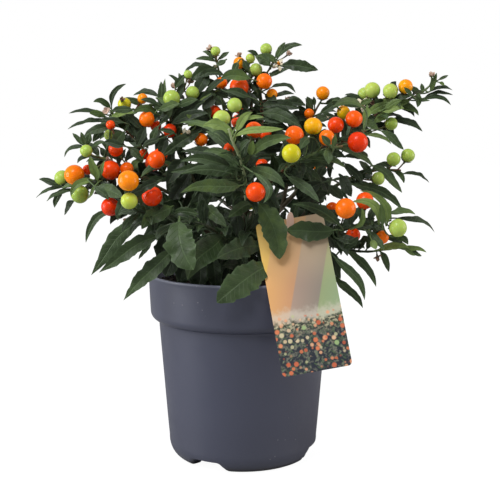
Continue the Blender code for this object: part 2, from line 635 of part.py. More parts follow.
def make_label():
    across, down, normal = label_frame()
    top = Vector(LABEL_TOP)
    height = (Vector(LABEL_BOTTOM) - top).length
    half = LABEL_WIDTH / 2
    small, large = LABEL_CORNERS
    outline = []
    for x, y, radius, start in ((half, 0, small, -90), (half, height, large, 0),
                                (-half, height, large, 90), (-half, 0, small, 180)):
        centre = (x - math.copysign(radius, x), y + (radius if y == 0 else -radius))
        outline += arc(centre, radius, start, start + 90, 3)
    points = [top + across * u + down * v + normal * s * LABEL_THICKNESS / 2
              for s in (-1, 1) for u, v in outline]
    n = len(outline)
    faces = [tuple(range(n)), tuple(range(2 * n - 1, n - 1, -1))]
    faces += [(i, i + n, (i + 1) % n + n, (i + 1) % n) for i in range(n)]
    card = add_object("plant_label", points, faces, material("label_card", *MATERIALS["label_card"]))
    centre = top + down * SLOT_BELOW_TOP
    corners = [centre + across * u * SLOT_SIZE[0] / 2 + down * v * SLOT_SIZE[1] / 2 + normal * w * 3.0
               for w in (-1, 1) for u, v in ((-1, -1), (1, -1), (1, 1), (-1, 1))]
    box = [(0, 1, 2, 3), (7, 6, 5, 4), (0, 4, 5, 1), (1, 5, 6, 2), (2, 6, 7, 3), (3, 7, 4, 0)]
    boolean(card, as_cutter(add_object("slot_cutter", corners, box)), "DIFFERENCE")
    return card


def make_stake():
    points, faces = stake_shape(0.0)
    return add_object("label_stake", points, faces, material("label_stake", *MATERIALS["label_stake"]))


def ripe_colour(ripeness):
    for (low, first), (high, last) in zip(RIPENESS_COLOURS, RIPENESS_COLOURS[1:]):
        if ripeness <= high:
            share = (ripeness - low) / (high - low)
            return tuple(a + (b - a) * share for a, b in zip(first, last)) + (1.0,)
    return RIPENESS_COLOURS[-1][1] + (1.0,)


def shoot_path(name):
    """The shoot's middle line, from its branch's hub to its end."""
    branch, route, _ = SHOOTS[name]
    points = [Vector(BRANCHES[branch][1])] + [Vector(p) for p in route]
    steps = int(1.4 * len(route))
    return [smooth_route(points, i / steps) for i in range(steps + 1)]


def on_path(path, place):
    """A point of the middle line, kept a little short of its end."""
    step, share = divmod(min(place, MOST_PLACE) * (len(path) - 1), 1)
    return path[int(step)].lerp(path[int(step) + 1], share)


def trunk_shape(grow):
    """The trunk as points and faces, grown all round by a clearance."""
    thick, thin = TRUNK_RADIUS
    path = [Vector((0, 0, SOIL_TOP - ROOT_DEPTH - grow)), Vector((0, 0, SOIL_TOP + 8)),
            Vector((0, 0, SOIL_TOP + 30)), Vector((0, 0, TRUNK_TOP))]
    radii = (thick - 0.6, thick, (thick + thin) / 2, thin)
    return tube(path, [radius + grow for radius in radii], TRUNK_SIDES)


def stub_length(fork, hub):
    """How far a branch's stub reaches from the trunk's middle, so that the branch clears the trunk."""
    along = (Vector(hub) - Vector((0, 0, fork))).normalized()
    level = math.hypot(along.x, along.y)
    if fork >= TRUNK_TOP:
        return STUB_RADIUS + 3.0
    return (TRUNK_RADIUS[0] + 1.5 + LIMB_RADIUS * abs(along.z)) / level


def make_trunk():
    """The trunk with a short stub for each branch."""
    bark = material("bark", *MATERIALS["bark"])
    trunk = add_object("main_stem", *trunk_shape(0.0), bark)
    stubs = new_collection("trunk_stubs")
    for branch, (fork, hub) in BRANCHES.items():
        start = Vector((0, 0, fork))
        along = (Vector(hub) - start).normalized()
        stub = tube([start, start + along * stub_length(fork, hub)],
                    [STUB_RADIUS * 0.8, LIMB_RADIUS * 1.15], LIMB_SIDES + 2)
        as_cutter(add_object("stub_" + branch, *stub, bark, stubs))
    boolean(trunk, stubs, "UNION")
    return trunk


def tree_of(points, faces):
    return BVHTree.FromPolygons([tuple(p) for p in points], [tuple(f) for f in faces])


class Growth:
    """What each branch is grown from, and where pieces already stand."""

    def __init__(self, solids):
        self.shapes = {name: [] for name in BRANCHES}
        self.taken = []
        for solid in solids:
            mesh = solid.data
            points = [v.co / MM for v in mesh.vertices]
            self.stand(solid.name, points, [p.vertices for p in mesh.polygons])

    def stand(self, owner, points, faces):
        self.taken.append((owner, tree_of(points, faces)))

    def is_free(self, owner, points, faces):
        tree = tree_of(points, faces)
        return not any(tree.overlap(other) for name, other in self.taken if name != owner)

    def grow(self, owner, mat, points, faces):
        self.shapes[owner].append((points, faces, mat))
        self.stand(owner, points, faces)


def grow_stems(growth):
    bark = material("bark", *MATERIALS["bark"])
    for branch, (fork, hub) in BRANCHES.items():
        start, end = Vector((0, 0, fork)), Vector(hub)
        along = (end - start).normalized()
        start = start + along * (stub_length(fork, hub) + GAP)
        middle = start.lerp(end, 0.5) + Vector((0, 0, -2.0))
        growth.grow(branch, bark, *tube([start, start + along * 2.0, middle, end + along],
                                        [LIMB_RADIUS * 1.1, LIMB_RADIUS * 1.1, LIMB_RADIUS,
                                         LIMB_RADIUS * 0.9], LIMB_SIDES))
    thick, thin = SHOOT_RADIUS
    for name, (branch, _, _) in SHOOTS.items():
        path = shoot_path(name)
        radii = [thick + (thin - thick) * i / (len(path) - 1) for i in range(len(path))]
        growth.grow(branch, bark, *tube(path, radii, STEM_SIDES))


def make_berries(growth):
    """Each berry, with a corner of its ball at the calyx that holds it, and the stalk of the calyx."""
    foliage = material("foliage", *MATERIALS["foliage"])
    for number, (shoot, place, centre, diameter, ripeness) in enumerate(BERRIES, 1):
        centre = Vector(centre)
        root = on_path(shoot_path(shoot), place)
        stalk = (root - centre + Vector((0, 0, -5.0))).normalized()
        turn = Vector((0, 0, 1)).rotation_difference(stalk)
        bm = bmesh.new()
        bmesh.ops.create_icosphere(bm, subdivisions=2, radius=diameter / 2)
        points = [turn @ v.co + centre for v in bm.verts]
        faces = [tuple(v.index for v in f.verts) for f in bm.faces]
        bm.free()
        name = f"berry_{number:02d}"
        add_object(name, points, faces, material(name, ripe_colour(ripeness), 0.25))
        growth.stand(name, points, faces)
        seat = centre + stalk * (diameter / 2 + GAP)
        neck = seat + stalk * 1.5
        growth.grow(SHOOTS[shoot][0], foliage,
                    *tube([seat, neck, root], [CALYX_RADIUS, STALK_RADIUS * 1.3, STALK_RADIUS], STEM_SIDES))


def grow_leaves(growth):
    """Each leaf keeps its place unless another piece stands there; then its tip swings a little."""
    foliage = material("foliage", *MATERIALS["foliage"])
    swings = [Vector((0, y, z)) for z in (0, -4, 5) for y in (0, -5, 5, -10, 10, -16, 16)]
    for name, (branch, _, leaves) in SHOOTS.items():
        path = shoot_path(name)
        for place, tip, width, face, bow in leaves:
            base = on_path(path, place)
            for swing in swings:
                shape = blade(base, Vector(tip) + swing, width, face, bow)
                if growth.is_free(branch, *shape):
                    growth.grow(branch, foliage, *shape)
                    break


def make_branches(growth):
    """Each branch: its limb, joined with its shoots, leaves and berry stalks."""
    for branch, (limb, *others) in growth.shapes.items():
        body = add_object(branch, *limb)
        grown = new_collection(branch + "_growth")
        for i, shape in enumerate(others):
            as_cutter(add_object(f"{branch}_growth_{i}", *shape, grown))
        boolean(body, grown, "UNION")


def main():
    clear_scene()
    growth = Growth([make_pot(), make_soil(), make_label(), make_stake(), make_trunk()])
    make_berries(growth)
    grow_stems(growth)
    grow_leaves(growth)
    make_branches(growth)


main()
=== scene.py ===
"""Looks of the potted Jerusalem cherry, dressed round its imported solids.

Tables are in millimetres, in the same frame as the solids: the origin is the centre of the pot's
foot, +Z is up and the plant's show side faces -Y. Meshes are built in metres.
"""

import math
import random

import bmesh
import bpy
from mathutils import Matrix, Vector, noise


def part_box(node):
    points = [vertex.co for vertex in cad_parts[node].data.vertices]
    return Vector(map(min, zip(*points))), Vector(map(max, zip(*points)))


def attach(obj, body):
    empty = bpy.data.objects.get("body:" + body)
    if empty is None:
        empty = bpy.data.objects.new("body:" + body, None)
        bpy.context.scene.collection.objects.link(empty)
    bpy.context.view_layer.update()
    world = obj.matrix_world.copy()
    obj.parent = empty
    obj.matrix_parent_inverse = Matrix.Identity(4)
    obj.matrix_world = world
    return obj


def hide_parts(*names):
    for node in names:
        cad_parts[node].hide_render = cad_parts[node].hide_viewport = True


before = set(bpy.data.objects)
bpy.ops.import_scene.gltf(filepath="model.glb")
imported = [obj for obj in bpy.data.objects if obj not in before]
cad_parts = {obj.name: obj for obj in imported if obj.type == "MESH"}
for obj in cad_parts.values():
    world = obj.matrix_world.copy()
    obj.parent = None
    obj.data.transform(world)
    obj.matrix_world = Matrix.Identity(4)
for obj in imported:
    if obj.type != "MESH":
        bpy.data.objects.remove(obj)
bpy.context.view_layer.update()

MM = 0.001
SEED = 11

# Where each branch forks from the trunk (height) and the hub that its shoots start from.
BRANCHES = {
    "branch_low": (174.0, (0, -36, 195)),
    "branch_right": (181.0, (40, -12, 204)),
    "branch_left": (185.0, (-34, -14, 208)),
    "branch_rear": (188.0, (2, 36, 212)),
    "branch_back_left": (193.0, (-32, 14, 222)),
    "branch_back_right": (197.0, (36, 20, 224)),
    "branch_front": (201.0, (4, -28, 232)),
    "branch_top": (204.0, (2, 6, 256)),
}

# Each shoot: its branch and the points that it grows through after the hub.
SHOOTS = {
    "far_left": ("branch_left", ((-68, -20, 221), (-98, -20, 230), (-118, -16, 238), (-130, -12, 248),
                                 (-146, -8, 246), (-160, -4, 244))),
    "left_front": ("branch_left", ((-54, -46, 220), (-72, -74, 224), (-86, -90, 231), (-92, -98, 240))),
    "low_left": ("branch_low", ((-20, -64, 210), (-40, -84, 221), (-60, -90, 219), (-72, -88, 212))),
    "low_mid": ("branch_low", ((3, -52, 208), (7, -64, 220), (9, -70, 230))),
    "low_right": ("branch_low", ((24, -52, 203), (48, -56, 209), (67, -62, 211), (80, -70, 213))),
    "left_mid": ("branch_back_left", ((-73, 2, 242), (-98, -6, 258), (-119, -14, 269), (-132, -18, 273),
                                      (-138, -18, 281))),
    "left_high": ("branch_back_left", ((-74, 18, 258), (-96, 14, 285), (-110, 10, 299), (-118, 6, 312))),
    "upper_left": ("branch_back_left", ((-52, 6, 266), (-62, 2, 288), (-64, 3, 308), (-58, 5, 320),
                                        (-51, 6, 331))),
    "top_left": ("branch_top", ((-10, 14, 292), (-18, 16, 318), (-20, 16, 340), (-23, 16, 354))),
    "top_mid": ("branch_top", ((8, 22, 290), (8, 24, 318), (5, 24, 338), (2, 24, 347))),
    "top_right": ("branch_top", ((16, 8, 288), (17, 10, 314), (16, 12, 334), (23, 12, 347),
                                 (30, 12, 357))),
    "centre_front": ("branch_front", ((3, -58, 238), (2, -82, 254), (-2, -94, 272), (-8, -103, 286),
                                      (-11, -108, 296))),
    "right_centre": ("branch_front", ((25, -40, 252), (38, -56, 264), (50, -74, 272), (65, -80, 279),
                                      (81, -78, 282))),
    "right_upper": ("branch_back_right", ((46, 16, 270), (58, 12, 296), (66, 10, 313), (70, 8, 320))),
    "right_mid": ("branch_back_right", ((62, 2, 254), (78, -28, 278), (92, -44, 290), (104, -46, 294))),
    "long_right": ("branch_back_right", ((80, 16, 272), (106, 4, 298), (125, -6, 313), (142, -10, 320),
                                         (155, -10, 326), (166, -10, 335))),
    "right_out": ("branch_right", ((72, -8, 238), (96, -18, 253), (117, -25, 260), (137, -28, 260))),
    "right_low": ("branch_right", ((70, -42, 208), (90, -60, 213), (106, -69, 218), (119, -74, 223))),
    "right_lowest": ("branch_right", ((70, -36, 198), (87, -50, 194), (104, -58, 193), (118, -62, 195))),
    "rear_left": ("branch_rear", ((-24, 60, 230), (-50, 78, 244), (-74, 90, 250), (-92, 100, 254))),
    "rear_right": ("branch_rear", ((26, 58, 228), (50, 76, 238), (72, 92, 242), (86, 106, 246))),
    "rear_high": ("branch_rear", ((-2, 58, 250), (-8, 74, 278), (-12, 80, 300), (-14, 82, 316))),
    "rear_low": ("branch_rear", ((0, 60, 212), (-6, 80, 212), (-10, 96, 206))),
}

# The leaves of each shoot, as (start of the blade, tip, width, face, bow, tone), with the last three
# in hundredths. The start is a point, or a place along the shoot. Face 0 lies flat and 100 stands up
# facing the show side, or the rear where it is negative. Bow is the arch's rise as a share of the
# length, or a point halfway along the midrib. Tone runs from 0 for the darkest leaves to 100 for the
# palest; it holds each leaf's own paleness together with painted light and shade, low for leaves in
# the plant's shaded inside and under the canopy, high for lit and backlit leaves.
LEAVES = {
    "far_left": (
        ((-124, -56, 248), (-112, -60, 237), 7, 85, 5, 40), ((-97, -30, 238), (-76, -50, 250), 6, 80, 5, 10),
        ((-100, -48, 239), (-106, -52, 220), 9, 90, 0, 20), (0.98, (-182, 0, 251), 8, 40, 5, 20),
        ((-155, -4, 245), (-185, -2, 234), 7, 40, 10, 30), ((-149, -8, 242), (-173, -14, 232), 7, 40, 10, 35),
        ((-158, -8, 243), (-167, -8, 226), 6, 80, 10, 40), ((-150, -4, 232), (-161, 6, 218), 6, 70, 10, 15),
        ((-125, -32, 252), (-130, -38, 273), 8, 90, 0, 75),
        ((-124, -32, 253), (-118, -36, 269), 4, 90, 0, 80),
        ((-129, -30, 252), (-147, -38, 238), 7, 70, 20, 70),
        ((-125, -34, 246), (-101, -50, 238), 12, 85, 4, 45),
        ((-123, -30, 250), (-107, -36, 244), 5, 70, 0, 10),
        ((-125, -34, 249), (-133, -36, 236), 3, 90, 0, 70), ((-137, -18, 250), (-160, -8, 243), 6, 60, 8, 60),
        ((-110, -30, 225), (-138, -20, 196), 7, 80, 20, 35),
        ((-107, -30, 234), (-108, -34, 217), 6, 90, 0, 25),
    ),
    "left_front": (
        ((-91, -98, 243), (-75, -101, 251), 6, 90, 0, 10),
        ((-67, -100, 255), (-81, -106, 248), 8, 100, 5, 10),
        ((-84, -72, 220), (-127, -66, 174), 15, 85, 7, 36), ((-59, -66, 225), (-36, -74, 226), 7, 80, 12, 40),
        ((-58, -80, 233), (-81, -96, 216), 13, 85, 8, 50),
    ),
    "low_left": (
        ((-64, -60, 207), (-71, -62, 185), 14, 90, 0, 5), ((-56, -56, 194), (-65, -58, 172), 16, 90, 0, 0),
        ((-48, -50, 188), (-53, -54, 168), 16, 90, 0, 0), ((-15, -56, 220), (-17, -60, 198), 14, 90, 0, 5),
        ((-36, -50, 228), (-39, -56, 204), 13, 90, 0, 10), ((-69, -84, 209), (-117, -90, 180), 14, 85, 5, 40),
        ((-58, -78, 197), (-98, -84, 156), 15, 85, 2, 38), ((-75, -78, 204), (-86, -76, 189), 4, 90, 0, 30),
        ((-50, -108, 224), (-38, -128, 188), 25, 95, (-48, -120, 206), 44),
        ((-16, -62, 208), (-44, -108, 177), 21, 90, 6, 34), ((-55, -70, 219), (-75, -76, 207), 11, 80, 6, 15),
        ((-39, -64, 230), (-13, -84, 216), 11, 85, 12, 45), ((-9, -20, 190), (-66, -50, 183), 13, 80, 5, 0),
        ((-9, -20, 188), (-57, -50, 176), 13, 80, 5, 5), ((-6, -20, 190), (-34, -56, 172), 17, 80, 5, 0),
    ),
    "low_mid": (
        ((-2, -40, 222), (-26, -55, 203), 13, 90, 0, 8), ((-15, -40, 225), (-6, -55, 201), 12, 90, 0, 5),
        ((-32, -45, 225), (-21, -60, 207), 11, 90, 0, 10), ((16, -66, 199), (-21, -100, 193), 17, 90, 6, 22),
        ((13, -76, 235), (30, -84, 190), 22, 95, (25, -80, 216), 54),
        ((9, -60, 234), (-12, -76, 224), 10, 85, 5, 40), ((-2, -20, 190), (-24, -60, 169), 13, 80, 4, 0),
        ((5, -20, 190), (-7, -60, 167), 17, 80, 4, 0), ((11, -20, 185), (6, -50, 164), 17, 80, 4, 5),
    ),
    "low_right": (
        ((75, -75, 213), (36, -75, 213), 17, 90, -2, 42), ((79, -86, 218), (39, -92, 236), 10, 85, 10, 30),
        ((30, -30, 195), (46, -44, 172), 11, 80, 4, 0), ((48, -40, 200), (64, -50, 178), 11, 80, 4, 5),
        ((22, -72, 184), (-21, -100, 157), 24, 90, (1, -91, 174), 38),
        ((10, -50, 178), (-17, -70, 183), 12, 80, 4, 15), ((84, -76, 197), (93, -94, 210), 7, 85, 0, 15),
        ((78, -76, 206), (96, -90, 204), 7, 85, 5, 15), ((76, -70, 190), (100, -84, 156), 8, 85, 12, 40),
        ((79, -70, 208), (86, -80, 192), 7, 85, 4, 10),
    ),
    "left_mid": (
        ((-104, -8, 277), (-110, -12, 265), 7, 85, 5, 20), ((-122, -4, 296), (-132, -8, 284), 7, 85, 5, 30),
        ((-125, -10, 279), (-118, -14, 268), 6, 85, 5, 30),
        ((-138, -20, 280), (-155, -20, 271), 7, 40, 18, 20),
        ((-130, -24, 272), (-143, -26, 266), 7, 40, 18, 20),
        ((-137, -20, 281), (-148, -18, 292), 5, 80, 0, 40),
        ((-136, -20, 282), (-140, -22, 293), 5, 90, 0, 50),
        ((-136, -18, 282), (-132, -18, 292), 6, 90, 0, 45),
        ((-131, -18, 280), (-119, -20, 284), 5, 60, 10, 40), ((-112, 0, 268), (-127, 4, 284), 7, 70, 8, 30),
        ((-98, 0, 262), (-108, 8, 244), 7, 80, 8, 20),
    ),
    "left_high": (
        ((-88, -8, 296), (-103, -10, 308), 7, 85, 5, 15), ((-58, -8, 256), (-66, -10, 240), 9, 90, 5, 5),
        ((-102, 0, 303), (-95, -4, 288), 8, 85, 5, 20), ((-114, -8, 295), (-105, -12, 280), 9, 90, 5, 30),
        ((-97, -4, 300), (-83, -8, 278), 10, 90, 5, 15), ((-101, -8, 279), (-88, -12, 268), 7, 85, 5, 30),
        ((-88, -8, 271), (-97, -12, 259), 8, 90, 5, 55), ((-102, -34, 281), (-119, -34, 284), 7, 90, 5, 20),
        ((-104, -14, 301), (-126, -14, 303), 6, 85, 5, 20), ((-96, -14, 312), (-114, -16, 311), 7, 90, 5, 35),
        ((-55, -12, 243), (-65, -20, 222), 12, 90, 0, 5), ((-36, -6, 246), (-55, -14, 221), 12, 90, 0, 5),
        ((-25, -8, 241), (-41, -12, 228), 9, 85, 5, 10), ((-85, -10, 297), (-93, -12, 281), 8, 90, 0, 10),
        ((-96, -4, 310), (-103, -6, 300), 6, 85, 0, 10),
        ((-117, 8, 315), (-103, 4, 335), 5, 80, (-114, 6, 328), 20),
        ((-118, 8, 314), (-132, 0, 319), 7, 70, 15, 40), ((-122, 6, 308), (-154, 0, 309), 7, 40, 8, 15),
        ((-122, 4, 306), (-135, -4, 309), 7, 70, 10, 60), ((-115, 8, 302), (-154, -8, 295), 8, 40, 10, 20),
        ((-117, 0, 306), (-94, -8, 309), 7, 70, 8, 80), ((-115, -8, 299), (-139, -14, 288), 8, 80, 6, 35),
        ((-104, -10, 293), (-114, -26, 280), 11, 95, 0, 30), ((-89, 8, 314), (-107, 2, 322), 6, 70, 12, 45),
        ((-92, 16, 280), (-106, 8, 266), 8, 80, 5, 15), ((-80, 14, 268), (-94, 2, 254), 8, 80, 5, 10),
    ),
    "upper_left": (
        ((-59, -4, 331), (-50, -6, 343), 6, 85, 5, 30), ((-52, -2, 335), (-57, -4, 320), 6, 85, 5, 20),
        ((-72, -20, 312), (-54, -22, 317), 8, 85, 5, 55), ((-62, -4, 303), (-46, -6, 314), 8, 85, 5, 15),
        ((-66, -8, 291), (-77, -10, 277), 8, 85, 5, 5), ((-74, -8, 322), (-57, -10, 314), 7, 85, 5, 50),
        ((-58, -10, 315), (-39, -12, 321), 7, 85, 5, 45), ((-80, -6, 317), (-66, -8, 310), 7, 85, 5, 35),
        ((-73, -6, 294), (-80, -10, 281), 7, 90, 5, 15), ((-37, 6, 294), (-53, 6, 284), 10, 85, 5, 10),
        ((-42, -10, 302), (-49, -14, 308), 4, 80, 5, 80), ((-42, -10, 300), (-48, -14, 298), 4, 80, 5, 75),
        ((-33, 0, 328), (-16, -8, 338), 6, 70, 5, 15), ((-71, -34, 287), (-85, -38, 279), 6, 80, 10, 20),
        ((-50, -24, 269), (-66, -30, 248), 13, 85, 5, 5), ((-46, -16, 258), (-62, -24, 230), 15, 90, 3, 0),
        ((-57, -6, 317), (-73, -10, 300), 9, 85, 5, 15), ((-67, -6, 310), (-80, -10, 301), 7, 80, 5, 15),
        ((-73, -16, 298), (-81, -16, 281), 6, 85, 5, 30), ((-59, -14, 291), (-72, -16, 294), 5, 80, 10, 30),
        ((-66, -10, 287), (-74, -12, 272), 9, 90, 0, 5), ((-75, -8, 317), (-89, -10, 321), 5, 80, 10, 20),
        ((-73, 0, 305), (-95, -20, 309), 8, 75, 20, 55), ((-75, 6, 324), (-98, 10, 325), 7, 60, 16, 30),
        ((-72, 2, 316), (-72, 0, 337), 7, 95, 0, 40), ((-70, 6, 323), (-69, 10, 340), 3, 95, 0, 60),
        ((-57, -4, 305), (-33, -12, 319), 11, 85, 6, 20), ((-68, -6, 304), (-62, -14, 317), 8, 90, 0, 35),
        ((-62, -8, 300), (-30, -14, 309), 10, 80, 8, 15), ((-52, 6, 332), (-66, 6, 343), 4, 70, 5, 30),
        ((-52, 6, 334), (-57, 10, 345), 4, 80, 0, 40), ((-38, -6, 293), (-72, -20, 270), 12, 85, 4, 30),
        ((-49, -14, 259), (-63, -20, 232), 11, 90, 0, 5), ((-61, -8, 265), (-88, -30, 254), 7, 75, 14, 50),
    ),
    "top_left": (
        ((-18, 0, 317), (-32, 0, 323), 7, 85, 5, 15), ((-13, 2, 323), (-25, 2, 327), 6, 85, 5, 20),
        ((-29, -2, 306), (-35, -2, 319), 7, 85, 5, 45), ((-12, 6, 291), (-33, 8, 280), 10, 85, 5, 10),
        ((-17, 8, 297), (-52, 4, 290), 12, 80, 8, 15), ((-24, 8, 306), (-53, 4, 302), 10, 80, 8, 20),
        ((-18, 4, 286), (-35, 6, 296), 9, 85, 5, 10), ((-6, -22, 245), (-30, -26, 238), 12, 90, 5, 10),
        ((-25, 0, 323), (-35, -6, 312), 9, 85, 5, 10), ((-31, 2, 328), (-41, -2, 318), 8, 85, 5, 10),
        ((-26, 10, 348), (-43, 8, 351), 5, 60, 8, 20), ((-17, 4, 343), (-41, 2, 338), 7, 75, 18, 25),
        ((-13, -8, 327), (5, -10, 312), 10, 85, 5, 10), ((-15, 6, 356), (-23, 4, 351), 5, 80, 0, 50),
        ((-26, 12, 348), (-53, 16, 344), 7, 40, 22, 10), ((-25, 8, 349), (-46, 2, 337), 9, 85, 12, 30),
        ((-31, 6, 345), (-40, -4, 324), 11, 90, 6, 20), ((-26, 10, 347), (-18, 12, 342), 3, 70, 10, 10),
        ((-24, 0, 329), (-38, -6, 318), 7, 80, 8, 15), ((-31, -4, 324), (-38, -6, 315), 4, 80, 10, 85),
        ((-24, 14, 355), (-42, 12, 357), 5, 60, 10, 30), ((-24, 14, 358), (-36, 16, 364), 5, 70, 10, 35),
        ((-22, 16, 357), (-12, 18, 364), 4, 70, 0, 40),
    ),
    "top_mid": (
        ((-6, 4, 323), (-20, 4, 330), 6, 85, 5, 10), ((6, -30, 269), (-14, -34, 284), 6, 80, 0, 10),
        ((-4, 4, 354), (-9, 2, 344), 6, 90, 0, 50), ((6, 8, 347), (0, 8, 356), 6, 85, 0, 30),
        ((4, 0, 328), (-1, -8, 304), 9, 90, 0, 15), ((8, 20, 344), (-6, 22, 358), 7, 80, 5, 30),
        ((10, 20, 338), (24, 16, 344), 7, 80, 10, 25),
    ),
    "top_right": (
        ((42, -4, 301), (26, -4, 310), 8, 85, 5, 20), ((22, 0, 300), (44, 0, 294), 7, 85, 5, 15),
        ((36, -2, 319), (56, -2, 316), 7, 85, 5, 15), ((17, -10, 304), (48, -12, 299), 9, 80, 10, 20),
        ((24, 4, 351), (11, 6, 359), 10, 85, 10, 45), ((6, -14, 323), (-15, -14, 328), 8, 80, 8, 30),
        ((15, 12, 359), (4, 10, 364), 4, 70, 10, 15), ((30, 8, 354), (13, 4, 359), 7, 80, 12, 55),
        ((29, 10, 358), (38, 12, 372), 6, 95, 0, 50), ((32, 10, 359), (53, 8, 369), 6, 75, (41, 8, 368), 35),
        ((34, 8, 351), (67, 4, 347), 11, 90, 6, 35), ((23, 8, 341), (42, 6, 349), 5, 70, 5, 30),
        ((23, 8, 331), (47, 2, 327), 6, 40, 22, 15), ((26, 6, 323), (46, 4, 326), 5, 60, 10, 15),
        ((37, 4, 321), (55, 0, 315), 6, 70, 16, 30), ((17, 0, 316), (50, -6, 313), 10, 80, 6, 20),
        ((17, -10, 309), (52, -20, 296), 11, 85, 10, 30), ((22, -6, 313), (50, -12, 301), 7, 80, 10, 15),
        ((20, 4, 326), (30, -4, 320), 7, 85, 0, 20), ((6, -12, 339), (-19, -18, 338), 10, 85, 12, 60),
    ),
    "centre_front": (
        ((-5, 4, 243), (-14, 0, 226), 11, 90, 5, 5), ((-15, 4, 241), (-33, 0, 230), 11, 90, 5, 5),
        ((-10, 4, 241), (-26, 0, 236), 8, 90, 5, 5), ((-6, -50, 224), (-2, -56, 204), 12, 90, 0, 5),
        ((-3, -90, 278), (-52, -60, 301), 7, 75, (-25, -78, 297), 60),
        ((-8, -96, 293), (-32, -94, 298), 9, 80, 14, 80), ((-9, -94, 285), (-21, -90, 297), 7, 85, 0, 70),
        ((-5, -98, 294), (8, -98, 309), 7, 90, 12, 90), ((-1, -94, 301), (17, -100, 305), 4, 70, 10, 85),
        ((-7, -98, 290), (32, -106, 296), 6, 80, 6, 95), ((7, -96, 275), (38, -104, 289), 9, 85, 14, 55),
        ((6, -96, 275), (8, -100, 287), 6, 90, 0, 70),
        ((-5, -86, 261), (-51, -70, 277), 11, 85, (-27, -78, 276), 15),
        ((-5, -88, 265), (-50, -90, 270), 9, 85, 8, 40), ((-2, -90, 258), (-50, -96, 260), 10, 85, 10, 33),
        ((-2, -96, 251), (-49, -112, 246), 12, 90, 6, 54), ((-3, -94, 267), (-32, -92, 278), 7, 75, 14, 45),
        ((-5, -96, 257), (-20, -94, 275), 5, 80, (-9, -94, 270), 40),
        ((-5, -70, 270), (-29, -66, 279), 7, 80, 6, 30), ((-9, -60, 277), (-31, -50, 294), 8, 80, 5, 35),
        ((6, -90, 264), (33, -106, 250), 9, 90, 12, 45),
        ((8, -104, 262), (16, -118, 239), 6, 90, (20, -116, 251), 45),
        ((-18, -66, 262), (-60, -60, 260), 8, 80, 6, 32),
    ),
    "right_centre": (
        ((65, -30, 277), (89, -30, 271), 7, 85, 8, 10), ((36, -24, 271), (11, -30, 269), 5, 80, 5, 10),
        ((32, -22, 260), (11, -26, 264), 6, 80, 5, 12), ((46, -28, 260), (40, -32, 246), 12, 90, 0, 10),
        ((28, -28, 258), (35, -32, 243), 12, 90, 0, 12), ((68, -92, 281), (68, -98, 268), 7, 95, 0, 50),
        ((36, -92, 258), (60, -112, 239), 8, 90, 6, 30), ((53, -94, 289), (45, -104, 280), 7, 85, 10, 35),
        ((69, -98, 283), (62, -102, 291), 6, 90, 0, 45), ((72, -96, 282), (73, -100, 292), 4, 90, 0, 60),
        ((36, -60, 262), (66, -64, 252), 11, 80, 10, 20), ((44, -60, 268), (76, -60, 262), 9, 75, 12, 30),
        ((18, -70, 247), (29, -80, 225), 10, 85, 5, 15), ((52, -76, 272), (84, -74, 264), 7, 60, 12, 50),
        ((96, -70, 279), (103, -70, 273), 3, 80, 0, 30),
    ),
    "right_upper": (
        ((68, -6, 309), (90, -8, 318), 7, 85, 8, 30), ((62, 6, 314), (57, 6, 324), 6, 85, 0, 30),
        ((64, 6, 316), (63, 4, 324), 4, 85, 0, 30), ((88, 6, 317), (76, 2, 311), 7, 80, 20, 50),
        ((74, 6, 318), (92, 10, 318), 7, 60, 12, 40), ((62, 10, 308), (40, 4, 302), 10, 80, 8, 20),
        ((56, 10, 296), (38, -6, 284), 11, 80, 8, 15), ((62, 6, 300), (84, 0, 306), 8, 75, 10, 30),
    ),
    "right_mid": (
        ((49, -36, 247), (50, -36, 230), 8, 90, 5, 5), ((76, -50, 281), (112, -40, 263), 7, 75, 10, 45),
        ((63, -40, 269), (84, -40, 265), 6, 70, 15, 10), ((70, -40, 265), (64, -40, 254), 8, 85, 0, 10),
        ((118, -36, 294), (137, -40, 278), 7, 80, 5, 45), ((103, -50, 291), (124, -56, 283), 4, 70, 12, 65),
        ((101, -66, 290), (105, -66, 280), 4, 90, 0, 20), ((102, -46, 313), (73, -74, 313), 7, 75, 14, 50),
        ((107, -30, 314), (103, -42, 301), 7, 95, 0, 80), ((82, -40, 288), (104, -56, 284), 7, 70, 10, 25),
    ),
    "long_right": (
        ((88, -26, 272), (107, -26, 269), 5, 80, 10, 10), ((81, -20, 270), (77, -20, 252), 5, 80, 18, 5),
        ((123, -22, 313), (137, -24, 320), 7, 85, 5, 70), ((83, -16, 320), (103, -18, 314), 8, 85, 5, 35),
        ((118, -14, 316), (134, -18, 321), 8, 85, 5, 80), ((128, -14, 314), (146, -16, 320), 7, 85, 5, 75),
        ((109, -14, 309), (126, -18, 317), 8, 90, 5, 70), ((115, -14, 301), (130, -18, 310), 7, 90, 5, 70),
        ((145, -28, 324), (138, -28, 331), 4, 90, 0, 50), ((104, -14, 303), (118, -18, 295), 7, 85, 5, 55),
        ((103, -10, 317), (113, -14, 320), 5, 85, 5, 60), ((105, 0, 322), (90, -2, 325), 6, 50, 10, 15),
        ((106, 0, 318), (88, 0, 322), 6, 60, 16, 20), ((136, -8, 315), (154, -12, 307), 7, 70, 14, 60),
        ((121, -20, 311), (139, -26, 313), 7, 80, 6, 85), ((130, -6, 304), (158, -10, 293), 7, 70, 12, 15),
        ((164, -10, 328), (184, -8, 329), 6, 40, 18, 15), ((159, -10, 322), (185, -6, 325), 6, 40, 12, 15),
        ((158, -10, 321), (182, -12, 316), 6, 50, 18, 20), ((171, -10, 338), (180, -8, 342), 3, 70, 0, 40),
        ((164, -10, 328), (169, -12, 344), 5, 95, 0, 60), ((172, -10, 336), (176, -12, 333), 3, 80, 0, 70),
        ((154, -12, 326), (151, -22, 314), 6, 90, 0, 45), ((158, -10, 327), (156, -10, 335), 4, 90, 0, 40),
